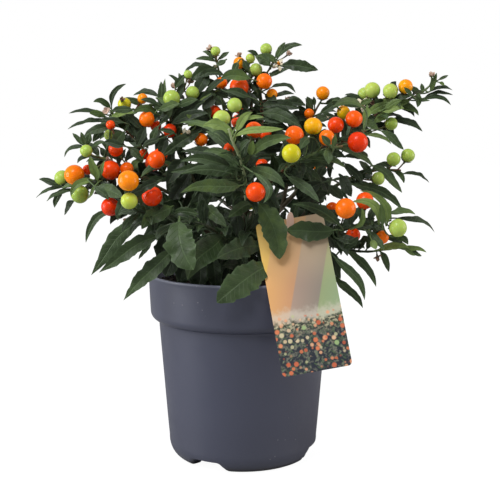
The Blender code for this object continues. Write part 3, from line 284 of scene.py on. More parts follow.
        ((154, -10, 325), (147, -10, 333), 6, 80, 0, 30), ((151, -10, 320), (163, -16, 320), 3, 70, 0, 40),
        ((132, -16, 323), (146, -20, 324), 6, 70, 0, 30), ((102, -4, 302), (118, -14, 304), 9, 80, 5, 35),
        ((96, 4, 294), (116, 0, 290), 9, 80, 5, 30), ((84, 8, 284), (104, 0, 276), 9, 75, 8, 20),
    ),
    "right_out": (
        ((68, -40, 250), (47, -40, 238), 11, 90, 5, 5), ((73, -40, 241), (47, -44, 232), 10, 90, 5, 5),
        ((88, -30, 266), (103, -34, 248), 7, 80, 8, 15), ((84, -30, 255), (93, -40, 238), 10, 90, 3, 5),
        ((107, -26, 260), (98, -28, 248), 7, 85, 5, 20), ((95, -24, 253), (109, -24, 258), 6, 70, 10, 40),
        ((74, -40, 248), (85, -46, 236), 9, 85, 0, 10), ((112, -26, 264), (137, -36, 241), 8, 80, 8, 40),
        ((127, -28, 260), (118, -26, 266), 5, 60, 18, 15), ((131, -28, 259), (139, -32, 249), 5, 80, 18, 45),
        ((139, -30, 257), (162, -26, 249), 6, 40, 14, 10), ((94, -30, 248), (137, -40, 226), 9, 75, 12, 35),
        ((76, -14, 238), (66, -30, 256), 9, 75, 5, 20), ((112, -22, 256), (100, -30, 268), 7, 70, 5, 30),
    ),
    "right_low": (
        ((101, -78, 213), (115, -88, 198), 7, 85, 6, 40), ((105, -84, 206), (108, -90, 199), 6, 90, 0, 80),
        ((124, -82, 208), (135, -84, 202), 6, 70, 18, 35), ((118, -74, 207), (132, -74, 202), 7, 70, 10, 15),
        ((127, -76, 223), (160, -66, 210), 7, 45, 12, 20), ((120, -78, 227), (142, -76, 226), 7, 50, 14, 60),
        ((110, -88, 220), (87, -96, 238), 7, 90, (104, -96, 236), 90),
        ((121, -82, 223), (95, -80, 246), 5, 90, (112, -84, 239), 70),
        ((117, -88, 220), (106, -90, 242), 7, 90, (115, -92, 234), 75),
        ((113, -90, 218), (111, -94, 237), 5, 90, 0, 60),
        ((90, -86, 216), (95, -98, 234), 5, 90, (96, -94, 223), 70),
        ((95, -84, 216), (113, -88, 218), 3, 70, 0, 10),
    ),
    "right_lowest": (
        ((74, -58, 193), (82, -66, 171), 9, 90, 0, 5), ((87, -60, 195), (111, -72, 165), 7, 80, 10, 35),
        ((77, -60, 173), (101, -66, 146), 7, 85, 4, 35),
        ((115, -66, 194), (122, -68, 177), 6, 85, (119, -68, 187), 35),
        ((130, -64, 197), (154, -64, 193), 5, 70, 6, 80), ((135, -66, 196), (144, -68, 191), 4, 80, 0, 70),
        ((140, -64, 195), (150, -64, 190), 4, 80, 0, 45), ((113, -68, 196), (138, -72, 198), 7, 75, 10, 95),
        ((60, -40, 198), (74, -52, 176), 9, 85, 5, 10),
    ),
    "rear_left": (
        (0.4, (-62, 50, 212), 12, -70, 14, 20), (0.5, (-30, 112, 222), 12, -80, 14, 40),
        (0.7, (-106, 70, 236), 10, -60, 14, 40), (0.8, (-66, 124, 236), 9, -70, 14, 50),
        (0.97, (-128, 100, 246), 7, -40, 14, 30), (0.97, (-98, 132, 248), 7, -50, 14, 60),
        (0.9, (-76, 92, 284), 7, -60, 0, 30),
    ),
    "rear_right": (
        (0.35, (66, 46, 208), 12, -70, 14, 20), (0.5, (34, 112, 214), 12, -80, 14, 40),
        (0.7, (104, 68, 224), 10, -60, 14, 30), (0.8, (52, 128, 228), 9, -70, 14, 50),
        (0.97, (122, 112, 234), 7, -40, 14, 30), (0.97, (90, 134, 236), 7, -50, 14, 60),
        (0.9, (68, 92, 274), 7, -60, 0, 40),
    ),
    "rear_high": (
        (0.4, (-44, 74, 266), 11, -60, 14, 20), (0.5, (34, 80, 270), 11, -60, 14, 30),
        (0.7, (-20, 118, 276), 11, -80, 14, 50), (0.8, (-50, 88, 302), 8, -50, 14, 40),
        (0.9, (24, 92, 310), 8, -50, 14, 30), (0.97, (-18, 118, 314), 7, -60, 14, 60),
        (0.97, (-32, 72, 332), 7, -60, 0, 30),
    ),
    "rear_low": (
        (0.5, (30, 104, 176), 13, -90, 14, 30), (0.6, (-44, 96, 180), 13, -90, 14, 20),
        (0.97, (-16, 130, 176), 12, -90, 14, 40), (0.9, (26, 122, 200), 10, -70, 14, 50),
    ),
}

# Flowers, as (shoot, centre, kind, direction that it faces).
FLOWERS = (
    ("top_right", (32, 8, 353), "open", (-0.2, -1.0, 0.5)),
    ("top_right", (41, 12, 362), "faded", (0.5, -0.6, 0.5)),
    ("top_left", (-29, 14, 367), "faded", (-0.4, -0.5, 0.8)),
    ("top_left", (-25, 15, 350), "bud", (0.2, -0.8, 0.3)),
    ("top_mid", (-3, 20, 361), "faded", (0.0, -0.4, 1.0)),
    ("long_right", (105, -6, 317), "open", (-0.3, -1.0, 0.1)),
    ("long_right", (114, -8, 318), "cup", (0.0, -1.0, 0.2)),
    ("right_upper", (75, 4, 305), "bud", (0.6, -0.6, 0.2)),
    ("top_right", (40, 6, 322), "faded", (0.6, -0.6, 0.5)),
    ("long_right", (164, -14, 342), "faded", (-0.2, -0.6, 0.9)),
    ("left_front", (-93, -92, 222), "dry", (-0.5, -0.6, -0.4)),
    ("left_high", (-120, -4, 311), "faded", (-0.2, -1.0, 0.1)),
    ("left_mid", (-118, -18, 268), "dry", (0.2, -1.0, 0.3)),
    ("upper_left", (-47, 2, 337), "dry", (0.0, -0.8, 0.4)),
    ("upper_left", (-61, 4, 333), "faded", (-0.3, -0.7, 0.5)),
    ("upper_left", (-48, -10, 293), "bud", (0.3, -0.8, -0.2)),
    ("upper_left", (-53, -8, 290), "open", (-0.4, -0.9, 0.1)),
    ("left_high", (-105, -12, 321), "dry", (0.2, -0.8, 0.6)),
    ("right_lowest", (112, -68, 189), "dry", (0.0, -0.5, -0.9)),
)

# Spots that stay open between the leaves when the plant is seen from its show side, and round its
# outline, as (x, z, radius) on the upright plane through the pot's axis.
GAPS = (
    (-68, 245, 4), (-52, 229, 5), (-44, 276, 7), (-19, 230, 5), (-30, 204, 4), (-8, 203, 4),
    (41, 235, 7), (73, 253, 7), (92, 263, 8), (90, 237, 7), (-75, 281, 6), (-18, 322, 5),
    (-139, 219, 14), (-93, 176, 13), (-88, 155, 11), (42, 343, 11), (119, 274, 11),
    (133, 240, 10), (124, 169, 13), (-102, 187, 7), (152, 342, 4), (162, 310, 8),
    (-108, 270, 5),
)

# The spot that the show side is seen from.
EYE = Vector((0, -885, 300))

# Fruits whose solids give their places, in the order of their numbers, as (shoot, place along it,
# ripeness from 0 green to 1 red).
BERRIES = (
    ("far_left", 0.86, 0.7), ("far_left", 0.93, 0.1), ("far_left", 0.8, 0.05), ("far_left", 0.7, 0.95),
    ("far_left", 0.6, 1.0), ("left_front", 0.95, 0.65), ("left_front", 0.85, 0.24), ("left_front", 0.6, 1.0),
    ("left_mid", 0.92, 0.1), ("left_mid", 0.7, 0.1), ("left_mid", 0.6, 0.95), ("left_high", 0.9, 0.35),
    ("left_high", 0.65, 0.75), ("upper_left", 0.75, 0.1), ("upper_left", 0.85, 0.1), ("upper_left", 0.3, 0.9),
    ("top_left", 0.7, 0.9), ("top_left", 0.45, 0.15), ("top_mid", 0.98, 0.6), ("top_mid", 0.9, 0.15),
    ("top_right", 0.75, 0.75), ("top_right", 0.95, 0.1), ("centre_front", 0.75, 0.2),
    ("centre_front", 0.7, 0.85), ("centre_front", 0.2, 0.95), ("right_centre", 0.4, 0.33),
    ("right_centre", 0.5, 0.82), ("right_centre", 0.8, 0.75), ("right_centre", 0.7, 0.5),
    ("right_upper", 0.98, 0.62), ("right_mid", 0.75, 0.95), ("right_mid", 0.85, 0.85),
    ("right_mid", 0.8, 1.0), ("long_right", 0.6, 0.2), ("long_right", 0.7, 0.2), ("long_right", 0.78, 0.58),
    ("right_out", 0.9, 0.1), ("right_out", 0.96, 0.1), ("right_low", 0.55, 0.75), ("right_low", 0.75, 0.9),
    ("right_low", 0.95, 0.15), ("right_low", 0.85, 0.75), ("rear_left", 0.75, 0.9), ("rear_right", 0.8, 0.7),
    ("rear_high", 0.7, 0.95), ("rear_low", 0.8, 0.4),
)

# Fruits that only the looks have, with their centre and diameter added.
MORE_BERRIES = (
    ("left_mid", 0.45, 0.8, (-101, -20, 261), 12.0), ("left_high", 0.4, 0.95, (-79, 0, 266), 16.0),
    ("left_high", 0.45, 0.95, (-89, 8, 273), 9.0), ("upper_left", 0.45, 1.0, (-64, -8, 294), 12.0),
    ("upper_left", 0.5, 0.95, (-77, 0, 298), 10.0), ("upper_left", 0.35, 0.75, (-37, 0, 286), 12.0),
    ("top_left", 0.44, 0.95, (-25, 4, 311), 11.0), ("top_left", 0.69, 0.75, (-19, 6, 336), 11.0),
    ("top_left", 0.97, 0.1, (-24, 10, 364), 8.6), ("upper_left", 0.97, 0.1, (-48, -4, 343), 7.6),
    ("long_right", 0.35, 0.5, (89, -2, 310), 12.0), ("long_right", 0.5, 0.15, (108, 4, 326), 12.0),
    ("long_right", 0.48, 0.05, (130, -12, 300), 11.5), ("right_out", 0.3, 0.85, (79, -14, 226), 11.0),
    ("right_low", 0.5, 0.95, (92, -66, 208), 12.0), ("top_right", 0.23, 0.95, (20, -4, 291), 11.0),
    ("top_right", 0.1, 0.95, (17, -6, 264), 11.0), ("right_upper", 0.66, 0.75, (59, 2, 309), 9.0),
    ("upper_left", 0.8, 0.8, (-60, 0, 320), 9.0), ("left_mid", 0.62, 0.95, (-115, -16, 299), 8.0),
    ("left_mid", 0.8, 0.95, (-136, -14, 260), 9.0), ("centre_front", 0.62, 0.95, (-10, -60, 279), 12.0),
    ("top_mid", 0.47, 0.95, (-2, 0, 314), 12.0), ("top_right", 0.6, 0.6, (26, 4, 326), 10.0),
    ("left_high", 0.85, 0.6, (-88, -4, 322), 9.0), ("top_mid", 0.97, 0.22, (7, 14, 358), 8.5),
    ("right_out", 0.65, 0.15, (117, -30, 253), 11.5),
)

UP = Vector((0, 0, 1))
FRONT = Vector((0, -1, 0))


def rgb(red, green, blue):
    """Linear colour from display values of 0 to 255."""
    return tuple(((c / 255 + 0.055) / 1.055) ** 2.4 if c > 10 else c / 255 / 12.92
                 for c in (red, green, blue)) + (1.0,)


# ---------------------------------------------------------------- materials

class Nodes:
    """A material's node tree, with short calls for the nodes that are used here."""

    def __init__(self, name, roughness, specular):
        self.mat = bpy.data.materials.new(name)
        self.mat.use_nodes = True
        self.tree = self.mat.node_tree
        self.shader = self.tree.nodes["Principled BSDF"]
        self.shader.inputs["Roughness"].default_value = roughness
        self.shader.inputs["Specular IOR Level"].default_value = specular

    def put(self, socket, value):
        if isinstance(value, bpy.types.NodeSocket):
            self.tree.links.new(value, socket)
        else:
            socket.default_value = value

    def node(self, kind, inputs=(), **settings):
        """A new node with its settings, and with values or links at its inputs."""
        node = self.tree.nodes.new("ShaderNode" + kind)
        for key, value in settings.items():
            setattr(node, key, value)
        for key, value in dict(inputs).items():
            self.put(node.inputs[key], value)
        return node

    def attribute(self, name):
        return self.node("Attribute", attribute_name=name).outputs["Fac"]

    def place(self):
        return self.node("TexCoord").outputs["Object"]

    def seen(self):
        return self.node("LightPath").outputs["Is Camera Ray"]

    def vector(self, x, y):
        return self.node("CombineXYZ", {0: x, 1: y}).outputs[0]

    def math(self, operation, first, second=0.0, clamp=False):
        node = self.node("Math", {0: first, 1: second}, operation=operation, use_clamp=clamp)
        return node.outputs[0]

    def times(self, first, second):
        return self.math("MULTIPLY", first, second)

    def plus(self, first, second):
        return self.math("ADD", first, second)

    def minus(self, first, second):
        return self.math("SUBTRACT", first, second)

    def noise(self, scale, detail=2.0, roughness=0.5):
        inputs = {"Vector": self.place(), "Scale": scale, "Detail": detail, "Roughness": roughness}
        return self.node("TexNoise", inputs).outputs["Fac"]

    def cells(self, scale, vector=None):
        """Distance to the middle of a cell, and a colour that is the cell's own."""
        node = self.node("TexVoronoi", {"Vector": vector or self.place(), "Scale": scale})
        return node.outputs["Distance"], node.outputs["Color"]

    def spread(self, value, low, high, to_low=0.0, to_high=1.0):
        inputs = enumerate((value, low, high, to_low, to_high))
        return self.node("MapRange", inputs, interpolation_type="SMOOTHSTEP").outputs[0]

    def ramp(self, value, stops):
        node = self.node("ValToRGB", {"Fac": value})
        elements = node.color_ramp.elements
        elements[0].position, elements[0].color = stops[0]
        elements[1].position, elements[1].color = stops[-1]
        for position, colour in stops[1:-1]:
            elements.new(position).color = colour
        return node.outputs["Color"]

    def mix(self, share, first, second):
        return self.node("Mix", {0: share, 6: first, 7: second}, data_type="RGBA").outputs[2]

    def bump(self, height, distance, strength=1.0):
        node = self.node("Bump", {"Strength": strength, "Distance": distance, "Height": height})
        self.put(self.shader.inputs["Normal"], node.outputs["Normal"])

    def finish(self, colour, roughness=None):
        self.put(self.shader.inputs["Base Color"], colour)
        if roughness is not None:
            self.put(self.shader.inputs["Roughness"], roughness)
        return self.mat


def leaf_material():
    n = Nodes("leaf_green", 0.5, 0.3)
    tone, young, under = n.attribute("tone"), n.attribute("young"), n.attribute("under")
    across, along, edge = n.attribute("across"), n.attribute("along"), n.attribute("edge")
    mottle = n.noise(55.0, 3.0)
    # each leaf's tone, which holds painted light and shade as well as the leaf's own paleness, picks its
    # green from dark to pale
    shade = n.plus(n.times(tone, 0.7), n.times(mottle, 0.42))
    shade = n.minus(n.plus(shade, n.times(n.noise(210.0, 3.0, 0.7), 0.16)), 0.03)
    green = n.ramp(shade, ((0.2, rgb(21, 32, 16)), (0.4, rgb(35, 50, 27)), (0.6, rgb(59, 78, 43)),
                           (0.78, rgb(94, 116, 55)), (0.95, rgb(128, 149, 78))))
    green = n.mix(young, green, rgb(130, 151, 76))
    distance = n.math("ABSOLUTE", across)
    rib = n.spread(distance, 0.25, 0.75, 1.0, 0.0)
    vein_gap = 4.6
    phase = n.math("FRACT", n.math("DIVIDE", n.minus(along, n.times(distance, 0.8)), vein_gap))
    vein = n.spread(n.math("ABSOLUTE", n.minus(phase, 0.5)), 0.0, 0.1, 1.0, 0.0)
    vein = n.times(vein, n.spread(edge, 0.65, 0.95, 1.0, 0.0))
    light = n.math("MAXIMUM", n.times(rib, 0.25), n.times(vein, 0.12))
    light = n.times(light, n.spread(tone, 0.0, 0.4, 0.3, 1.0))
    green = n.mix(light, green, rgb(104, 128, 84))
    green = n.mix(n.spread(edge, 0.88, 1.0, 0.0, 0.3), green, rgb(92, 112, 74))
    green = n.mix(n.times(under, 0.5), green, rgb(76, 96, 68))
    n.bump(n.minus(n.noise(240.0, 2.0), n.plus(vein, rib)), 0.00035, 0.6)
    return n.finish(green, n.spread(mottle, 0.3, 0.7, 0.44, 0.58))


def stem_material():
    n = Nodes("stem_green", 0.5, 0.4)
    grain, pale = n.noise(260.0, 3.0), n.attribute("pale")
    height = n.node("SeparateXYZ", {0: n.place()}).outputs["Z"]
    high = n.spread(height, 0.23, 0.262)
    red = n.times(n.spread(n.noise(28.0), 0.45, 0.6, 0.0, 0.7), high)
    green = n.mix(red, n.mix(grain, rgb(66, 88, 50), rgb(104, 122, 72)), rgb(128, 62, 54))
    green = n.mix(high, rgb(44, 56, 34), green)
    green = n.mix(pale, green, n.mix(grain, rgb(134, 150, 106), rgb(164, 176, 134)))
    brown = n.mix(grain, rgb(50, 44, 32), rgb(86, 76, 56))
    woody = n.times(n.attribute("wood"), n.minus(1.0, pale))
    woody = n.spread(n.plus(woody, n.times(grain, 0.3)), 0.3, 0.9)
    n.bump(grain, 0.0003, 0.5)
    return n.finish(n.mix(woody, green, brown))


def berry_material():
    n = Nodes("berry_skin", 0.28, 0.25)
    n.shader.inputs["Subsurface Weight"].default_value = 0.12
    n.shader.inputs["Subsurface Radius"].default_value = (0.004, 0.0015, 0.0006)
    ripe, end = n.attribute("ripe"), n.attribute("end")
    blotch = n.times(n.minus(n.noise(70.0, 2.0), 0.5), 0.12)
    half_ripe = n.spread(n.math("ABSOLUTE", n.minus(ripe, 0.45)), 0.0, 0.45, 1.0, 0.0)
    toward_stalk = n.times(n.times(end, -0.07), half_ripe)
    stage = n.math("ADD", n.plus(ripe, blotch), toward_stalk, clamp=True)
    colour = n.ramp(stage, (
        (0.0, rgb(134, 160, 62)), (0.1, rgb(166, 192, 84)), (0.2, rgb(178, 202, 98)),
        (0.3, rgb(190, 198, 58)), (0.4, rgb(204, 194, 24)), (0.5, rgb(238, 186, 18)),
        (0.6, rgb(252, 158, 10)), (0.72, rgb(254, 124, 6)), (0.85, rgb(252, 94, 6)),
        (1.0, rgb(234, 56, 4))))
    n.bump(n.noise(420.0, 2.0), 0.0002, 0.12)
    return n.finish(colour, n.spread(n.noise(120.0), 0.3, 0.7, 0.2, 0.3))


def pot_material():
    n = Nodes("pot_plastic", 0.42, 0.45)
    height = n.attribute("height")
    colour = n.mix(n.noise(9.0, 3.0), rgb(63, 66, 82), rgb(70, 73, 89))
    # darker towards the bottom of the pot
    colour = n.mix(n.spread(height, 0.0, 0.4, 0.3, 0.0), colour, rgb(54, 56, 66))
    # painted shade: a dark band round the heel, where the pot curves under towards the floor
    colour = n.mix(n.spread(height, 0.008, 0.045, 0.85, 0.0), colour, rgb(30, 30, 34))
    # painted highlight along the top of the rim
    colour = n.mix(n.spread(height, 0.984, 0.996, 0.0, 0.5), colour, rgb(128, 132, 146))
    specks = n.spread(n.cells(150.0)[0], 0.03, 0.07, 1.0, 0.0)
    dust = n.times(specks, n.spread(n.noise(12.0, 2.0), 0.5, 0.62))
    colour = n.mix(n.times(dust, 0.55), colour, rgb(190, 190, 190))
    n.bump(n.noise(900.0, 2.0), 0.0002, 0.25)
    return n.finish(colour, n.spread(n.noise(30.0, 4.0), 0.35, 0.7, 0.36, 0.5))


def soil_material():
    n = Nodes("peat", 0.95, 0.2)
    grain = n.noise(320.0, 4.0, 0.65)
    crumb = n.spread(n.cells(260.0)[0], 0.0, 0.35, 0.5, 0.0)
    colour = n.ramp(grain, ((0.3, rgb(15, 12, 11)), (0.55, rgb(36, 29, 25)), (0.8, rgb(70, 58, 48))))
    n.bump(grain, 0.0012, 1.0)
    return n.finish(n.mix(crumb, colour, rgb(30, 24, 20)))


def card_material():
    """A printed card: slanted bands above, a dark bed of small round fruits and leaf strokes below, with
    painted light on its upper part.
    """
    n = Nodes("card_print", 0.4, 0.4)
    u, v = n.attribute("card_u"), n.attribute("card_v")
    slant = n.plus(n.times(u, 0.55), n.times(v, 0.44))
    colour = n.ramp(slant, (
        (0.0, rgb(252, 204, 56)), (0.16, rgb(240, 190, 70)), (0.17, rgb(228, 172, 104)),
        (0.41, rgb(196, 146, 106)), (0.42, rgb(166, 142, 126)), (0.63, rgb(140, 130, 118)),
        (0.64, rgb(146, 160, 116)), (0.95, rgb(140, 168, 132))))
    # painted light: the card's upper part is lifted towards warm white where the leaves above shade it
    colour = n.mix(n.spread(v, 0.1, 0.5, 0.3, 0.0), colour, rgb(255, 226, 170))
    ragged = n.plus(n.times(n.noise(60.0, 3.0), 0.08), n.times(n.noise(330.0, 2.0), 0.07))
    edge = n.plus(v, ragged)
    colour = n.mix(n.times(n.spread(edge, 0.64, 0.71), 0.6), colour, rgb(208, 200, 184))
    bed = n.spread(edge, 0.71, 0.76)
    deep = n.mix(n.spread(n.noise(340.0, 2.0), 0.48, 0.68), rgb(30, 36, 48), rgb(108, 110, 96))
    leafy = n.mix(n.spread(n.noise(420.0, 2.0), 0.45, 0.6), rgb(52, 58, 44), rgb(184, 176, 144))
    colour = n.mix(bed, colour, n.mix(n.spread(edge, 0.74, 0.86), leafy, deep))
    long_v = n.times(v, 2.2)
    strokes = ((0.7, 0.0, rgb(70, 92, 62)), (-0.8, 3.7, rgb(104, 116, 92)), (0.1, 7.1, rgb(48, 66, 50)))
    for turn, shift, ink in strokes:
        cos, sin = math.cos(turn), math.sin(turn)
        length = n.plus(n.times(u, cos), n.times(long_v, sin))
        across = n.minus(n.times(long_v, cos), n.times(u, sin))
        distance = n.cells(24.0, n.vector(n.plus(n.times(length, 0.4), shift), across))[0]
        stroke = n.times(n.spread(distance, 0.2, 0.36, 1.0, 0.0), bed)
        colour = n.mix(n.times(stroke, 0.75), colour, ink)
    inks = ((0.0, rgb(190, 86, 56)), (0.4, rgb(224, 128, 82)), (0.7, rgb(232, 178, 138)),
            (0.82, rgb(214, 196, 160)), (1.0, rgb(150, 178, 120)))
    for scale, shift, share in ((9.5, 0.0, 0.9), (12.5, 5.3, 0.75)):
        distance, tint = n.cells(scale, n.vector(n.plus(u, shift), long_v))
        dot = n.times(n.spread(distance, 0.24, 0.4, share, 0.0), n.spread(edge, 0.69, 0.71))
        hue = n.node("SeparateColor", {0: tint})
        picked = n.spread(hue.outputs[1], 0.35, 0.4)
        colour = n.mix(n.times(dot, picked), colour, n.ramp(hue.outputs[0], inks))
    return n.finish(colour)


def stake_material():
    n = Nodes("stake_plastic", 0.45, 0.4)
    n.bump(n.noise(500.0), 0.0001, 0.2)
    return n.finish(n.mix(n.noise(60.0, 2.0), rgb(246, 200, 176), rgb(252, 222, 204)))


def petal_material():
    n = Nodes("petal", 0.6, 0.3)
    grain = n.noise(300.0)
    colour = n.mix(grain, rgb(214, 206, 176), rgb(238, 232, 208))
    colour = n.mix(n.attribute("blush"), colour, rgb(196, 150, 140))
    brown = n.mix(grain, rgb(96, 66, 58), rgb(150, 116, 92))
    colour = n.mix(n.attribute("dried"), colour, brown)
    colour = n.mix(n.attribute("heart"), colour, rgb(226, 150, 30))
    n.bump(grain, 0.0003, 0.4)
    return n.finish(colour)


# ---------------------------------------------------------------- mesh helpers

class Shape:
    """Closed forms that gather into one mesh, each point with its own attribute values."""

    def __init__(self):
        self.points, self.faces, self.values = [], [], {}

    def add(self, points, faces, **values):
        start = len(self.points)
        self.points += points
        self.faces += [tuple(start + i for i in face) for face in faces]
        for name, numbers in values.items():
            column = self.values.setdefault(name, [0.0] * start)
            column += [0.0] * (start - len(column))
            column += list(numbers) if hasattr(numbers, "__len__") else [numbers] * len(points)

    def make(self, name, mat, replaced=(), slot=None, sharp=50):
        mesh = bpy.data.meshes.new(name)
        mesh.from_pydata([tuple(Vector(p) * MM) for p in self.points], [], self.faces)
        for key, column in self.values.items():
            column += [0.0] * (len(self.points) - len(column))
            mesh.attributes.new(key, "FLOAT", "POINT").data.foreach_set("value", column)
        bm = bmesh.new()
        bm.from_mesh(mesh)
        bmesh.ops.recalc_face_normals(bm, faces=bm.faces)
        bm.to_mesh(mesh)
        bm.free()
        mesh.shade_smooth()
        mesh.set_sharp_from_angle(angle=math.radians(sharp))
        mesh.materials.append(mat)
        piece = bpy.data.objects.new(name, mesh)
        bpy.context.scene.collection.objects.link(piece)
        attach(piece, "root")
        if replaced:
            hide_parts(*replaced)


def square_to(vector, axis):
    """The unit vector nearest to a vector at right angles to a unit axis."""
    return (vector - axis * vector.dot(axis)).normalized()


def on_curve(points, share):
    """The point at a share of the length of a smooth curve through the points."""
    lengths = [(b - a).length for a, b in zip(points, points[1:])]
    target = max(0.0, min(1.0, share)) * sum(lengths)
    for i, length in enumerate(lengths):
        if target <= length or i == len(lengths) - 1:
            break
        target -= length
    t = min(target / lengths[i], 1.0)
    before = points[max(i - 1, 0)]
    after = points[min(i + 2, len(points) - 1)]
    a, b = points[i], points[i + 1]
    return 0.5 * (2 * a + (b - before) * t + (2 * before - 5 * a + 4 * b - after) * t ** 2
                  + (3 * a - before - 3 * b + after) * t ** 3)


def skin(rings, tip=None):
    """Faces of a closed form from rings of point numbers, with a flat end or a tip at the last."""
    first, last = rings[0], rings[-1]
    pairs = [(k, (k + 1) % len(first)) for k in range(len(first))]
    faces = [(a[p], a[q], b[q], b[p]) for a, b in zip(rings, rings[1:]) for p, q in pairs]
    if tip is None:
        return faces + [tuple(first)[::-1], tuple(last)]
    return faces + [(last[p], last[q], tip) for p, q in pairs] + [tuple(first)]


def tube(path, radii, sides):
    """A closed tube through the path's points, with flat ends."""
    points = []
    for i, (centre, radius) in enumerate(zip(path, radii)):
        along = (path[min(i + 1, len(path) - 1)] - path[max(i - 1, 0)]).normalized()
        across = square_to(across, along) if i else along.orthogonal().normalized()
        other = along.cross(across)
        for k in range(sides):
            a = math.tau * k / sides
            points.append(centre + (across * math.cos(a) + other * math.sin(a)) * radius)
    return points, skin([range(i, i + sides) for i in range(0, len(points), sides)])


def turned(profile, sides):
    """Points and faces of a closed profile of (radius, height) turned round Z."""
    points, faces, rings = [], [], []
    for radius, height in profile:
        if radius < 1e-6:
            rings.append([len(points)])
            points.append(Vector((0.0, 0.0, height)))
            continue
        rings.append(range(len(points), len(points) + sides))
        for i in range(sides):
            a = math.tau * i / sides
            points.append(Vector((radius * math.cos(a), radius * math.sin(a), height)))
    for low, high in zip(rings, rings[1:] + rings[:1]):
        if len(low) == 1 and len(high) == 1:
            continue
        for i in range(sides):
            j = (i + 1) % sides
            corners = [low[i % len(low)], low[j % len(low)], high[j % len(high)], high[i % len(high)]]
            faces.append(list(dict.fromkeys(corners)))
    return points, faces


def arc(centre, radius, start, end, steps):
    for i in range(steps + 1):
        a = math.radians(start + (end - start) * i / steps)
        yield centre[0] + radius * math.cos(a), centre[1] + radius * math.sin(a)


def smooth_step(value, low, high):
    t = max(0.0, min(1.0, (value - low) / (high - low)))
    return t * t * (3 - 2 * t)


# ---------------------------------------------------------------- pot and soil

# Notches in the pot's foot: azimuth from the show side, and how much each flares outward. Each is
# fully open to the first angle from its middle and ends at the second.
NOTCHES = ((-30.5, 0.3), (74.0, 1.0), (207.0, 1.0))
NOTCH_SPAN = (10.5, 20.5)
NOTCH_HEIGHT = 8.0
FLARE_FROM = 60.0


def make_pot():
    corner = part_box("pot")[1] / MM
    rim, top = corner.x, corner.z
    wall, lip, bead = 1.6, 1.2, 8.0
    collar, step = rim - 1.8, top - 42.0
    neck, neck_z = rim - 9.3, step - 2.4
    heel, heel_z, heel_round = rim - 17.7, 17.0, 12.5
    foot, under_floor, floor, notched_z = 50.0, 11.0, 13.0, 12.5
    outer = list(arc((rim - lip, top - lip), lip, 90, 0, 5))
    outer += [(rim - 0.35, top - 3.0), (rim - 0.55, top - 5.0), (rim - 0.8, top - 12.0),
              (rim - 1.2, top - 22.0)]
    outer += arc((collar - bead, step + bead), bead, 0, -84, 9)
    outer += [(neck + 0.9, step - 0.1), (neck + 0.2, step - 1.0), (neck, neck_z)]
    outer += [(neck + (heel - neck) * i / 7, neck_z + (heel_z - neck_z) * i / 7) for i in range(1, 7)]
    outer += [(heel + heel_round * (r - 1), heel_z * z) for r, z in arc((0.0, 1.0), 1.0, 4, -90, 12)]
    base = [(foot + 2.0, 0.0), (foot, 0.0), (foot - 0.4, 5.0), (foot - 1.0, under_floor),
            (30.0, under_floor), (0.0, under_floor)]
    inner = [(0.0, floor), (heel - 6.0, floor), (heel - wall, floor + 6.0), (neck - wall, step - 1.2),
             (neck - wall + 1.0, step + 2.0), (collar - wall, step + 7.0)]
    inner += [(rim - lip - wall, top - 3.0), (rim - lip - wall + 0.15, top - 1.0),
              (rim - lip - wall + 0.5, top - 0.3)]
    points, faces = turned(outer + base + inner, 180)
    for p in points:
        radius = math.hypot(p.x, p.y)
        if p.z < notched_z and radius > foot - 2.0:
            azimuth = math.degrees(math.atan2(p.x, -p.y))
            for middle, flare in NOTCHES:
                off = abs((azimuth - middle + 180) % 360 - 180)
                roof = NOTCH_HEIGHT + max(0.0, radius - FLARE_FROM) * flare
                p.z = max(p.z, roof * (1 - smooth_step(off, *NOTCH_SPAN)))
    shape = Shape()
    shape.add(points, faces, height=[p.z / top for p in points])
    shape.make("pot_shell", pot_material(), ("pot",), "pot", 40)


SOIL_RADIUS = 81.0
SOIL_SURFACE = 157.0
CRUMBS = 420


def make_soil():
    rng = random.Random(SEED)
    sides, rings = 96, 22
    profile = [(0.0, 120.0), (72.0, 120.0), (73.0, 127.0), (SOIL_RADIUS - 1.5, 134.0),
               (SOIL_RADIUS, SOIL_SURFACE - 2.0)]
    profile += [(SOIL_RADIUS * (1 - i / rings), SOIL_SURFACE) for i in range(1, rings)]
    profile.append((0.0, SOIL_SURFACE))
    points, faces = turned(profile, sides)
    for p in points:
        if p.z >= SOIL_SURFACE - 0.01:
            p.z += noise.fractal(p * 0.09, 0.8, 2.2, 4) * 1.8 + noise.noise(p * 0.5) * 0.9
    shape = Shape()
    shape.add(points, faces)
    for _ in range(CRUMBS):
        a, r = rng.uniform(0, math.tau), SOIL_RADIUS * math.sqrt(rng.uniform(0.02, 0.97))
        size = rng.uniform(0.7, 2.4)
        centre = Vector((r * math.cos(a), r * math.sin(a), SOIL_SURFACE + size * 0.3))
        shape.add(*crumb(centre, size, rng))
    shape.make("soil_bed", soil_material(), ("potting_soil",), "potting_soil")


def crumb(centre, radius, rng):
    bm = bmesh.new()
    bmesh.ops.create_icosphere(bm, subdivisions=1, radius=radius)
    points = [v.co * rng.uniform(0.7, 1.25) + centre for v in bm.verts]
    faces = [tuple(v.index for v in f.verts) for f in bm.faces]
    bm.free()
    return points, faces


# ---------------------------------------------------------------- label

# The card's middle line runs from LABEL_TOP to LABEL_BOTTOM. Its corners have one radius above and
# one below, and its slot and the stake have a width and a height or thickness.
LABEL_TOP = Vector((38.5, -64.5, 221.5))
LABEL_BOTTOM = Vector((60.0, -109.5, 103.0))
LABEL_WIDTH = 57.0
LABEL_THICKNESS = 0.7
LABEL_BULGE = 0.36
LABEL_CORNERS = (3.0, 3.5)
SLOT_SIZE = (8.4, 7.4)
SLOT_BELOW_TOP = 8.8
STAKE_TOP = Vector((39.4, -68.9, 227.5))
STAKE_FOOT_Z = 121.0
STAKE_SIZE = (6.2, 1.1)
STAKE_ROUND = 8.0    # length of the rounded top
STAKE_POINT = 12.0   # length of the pointed foot


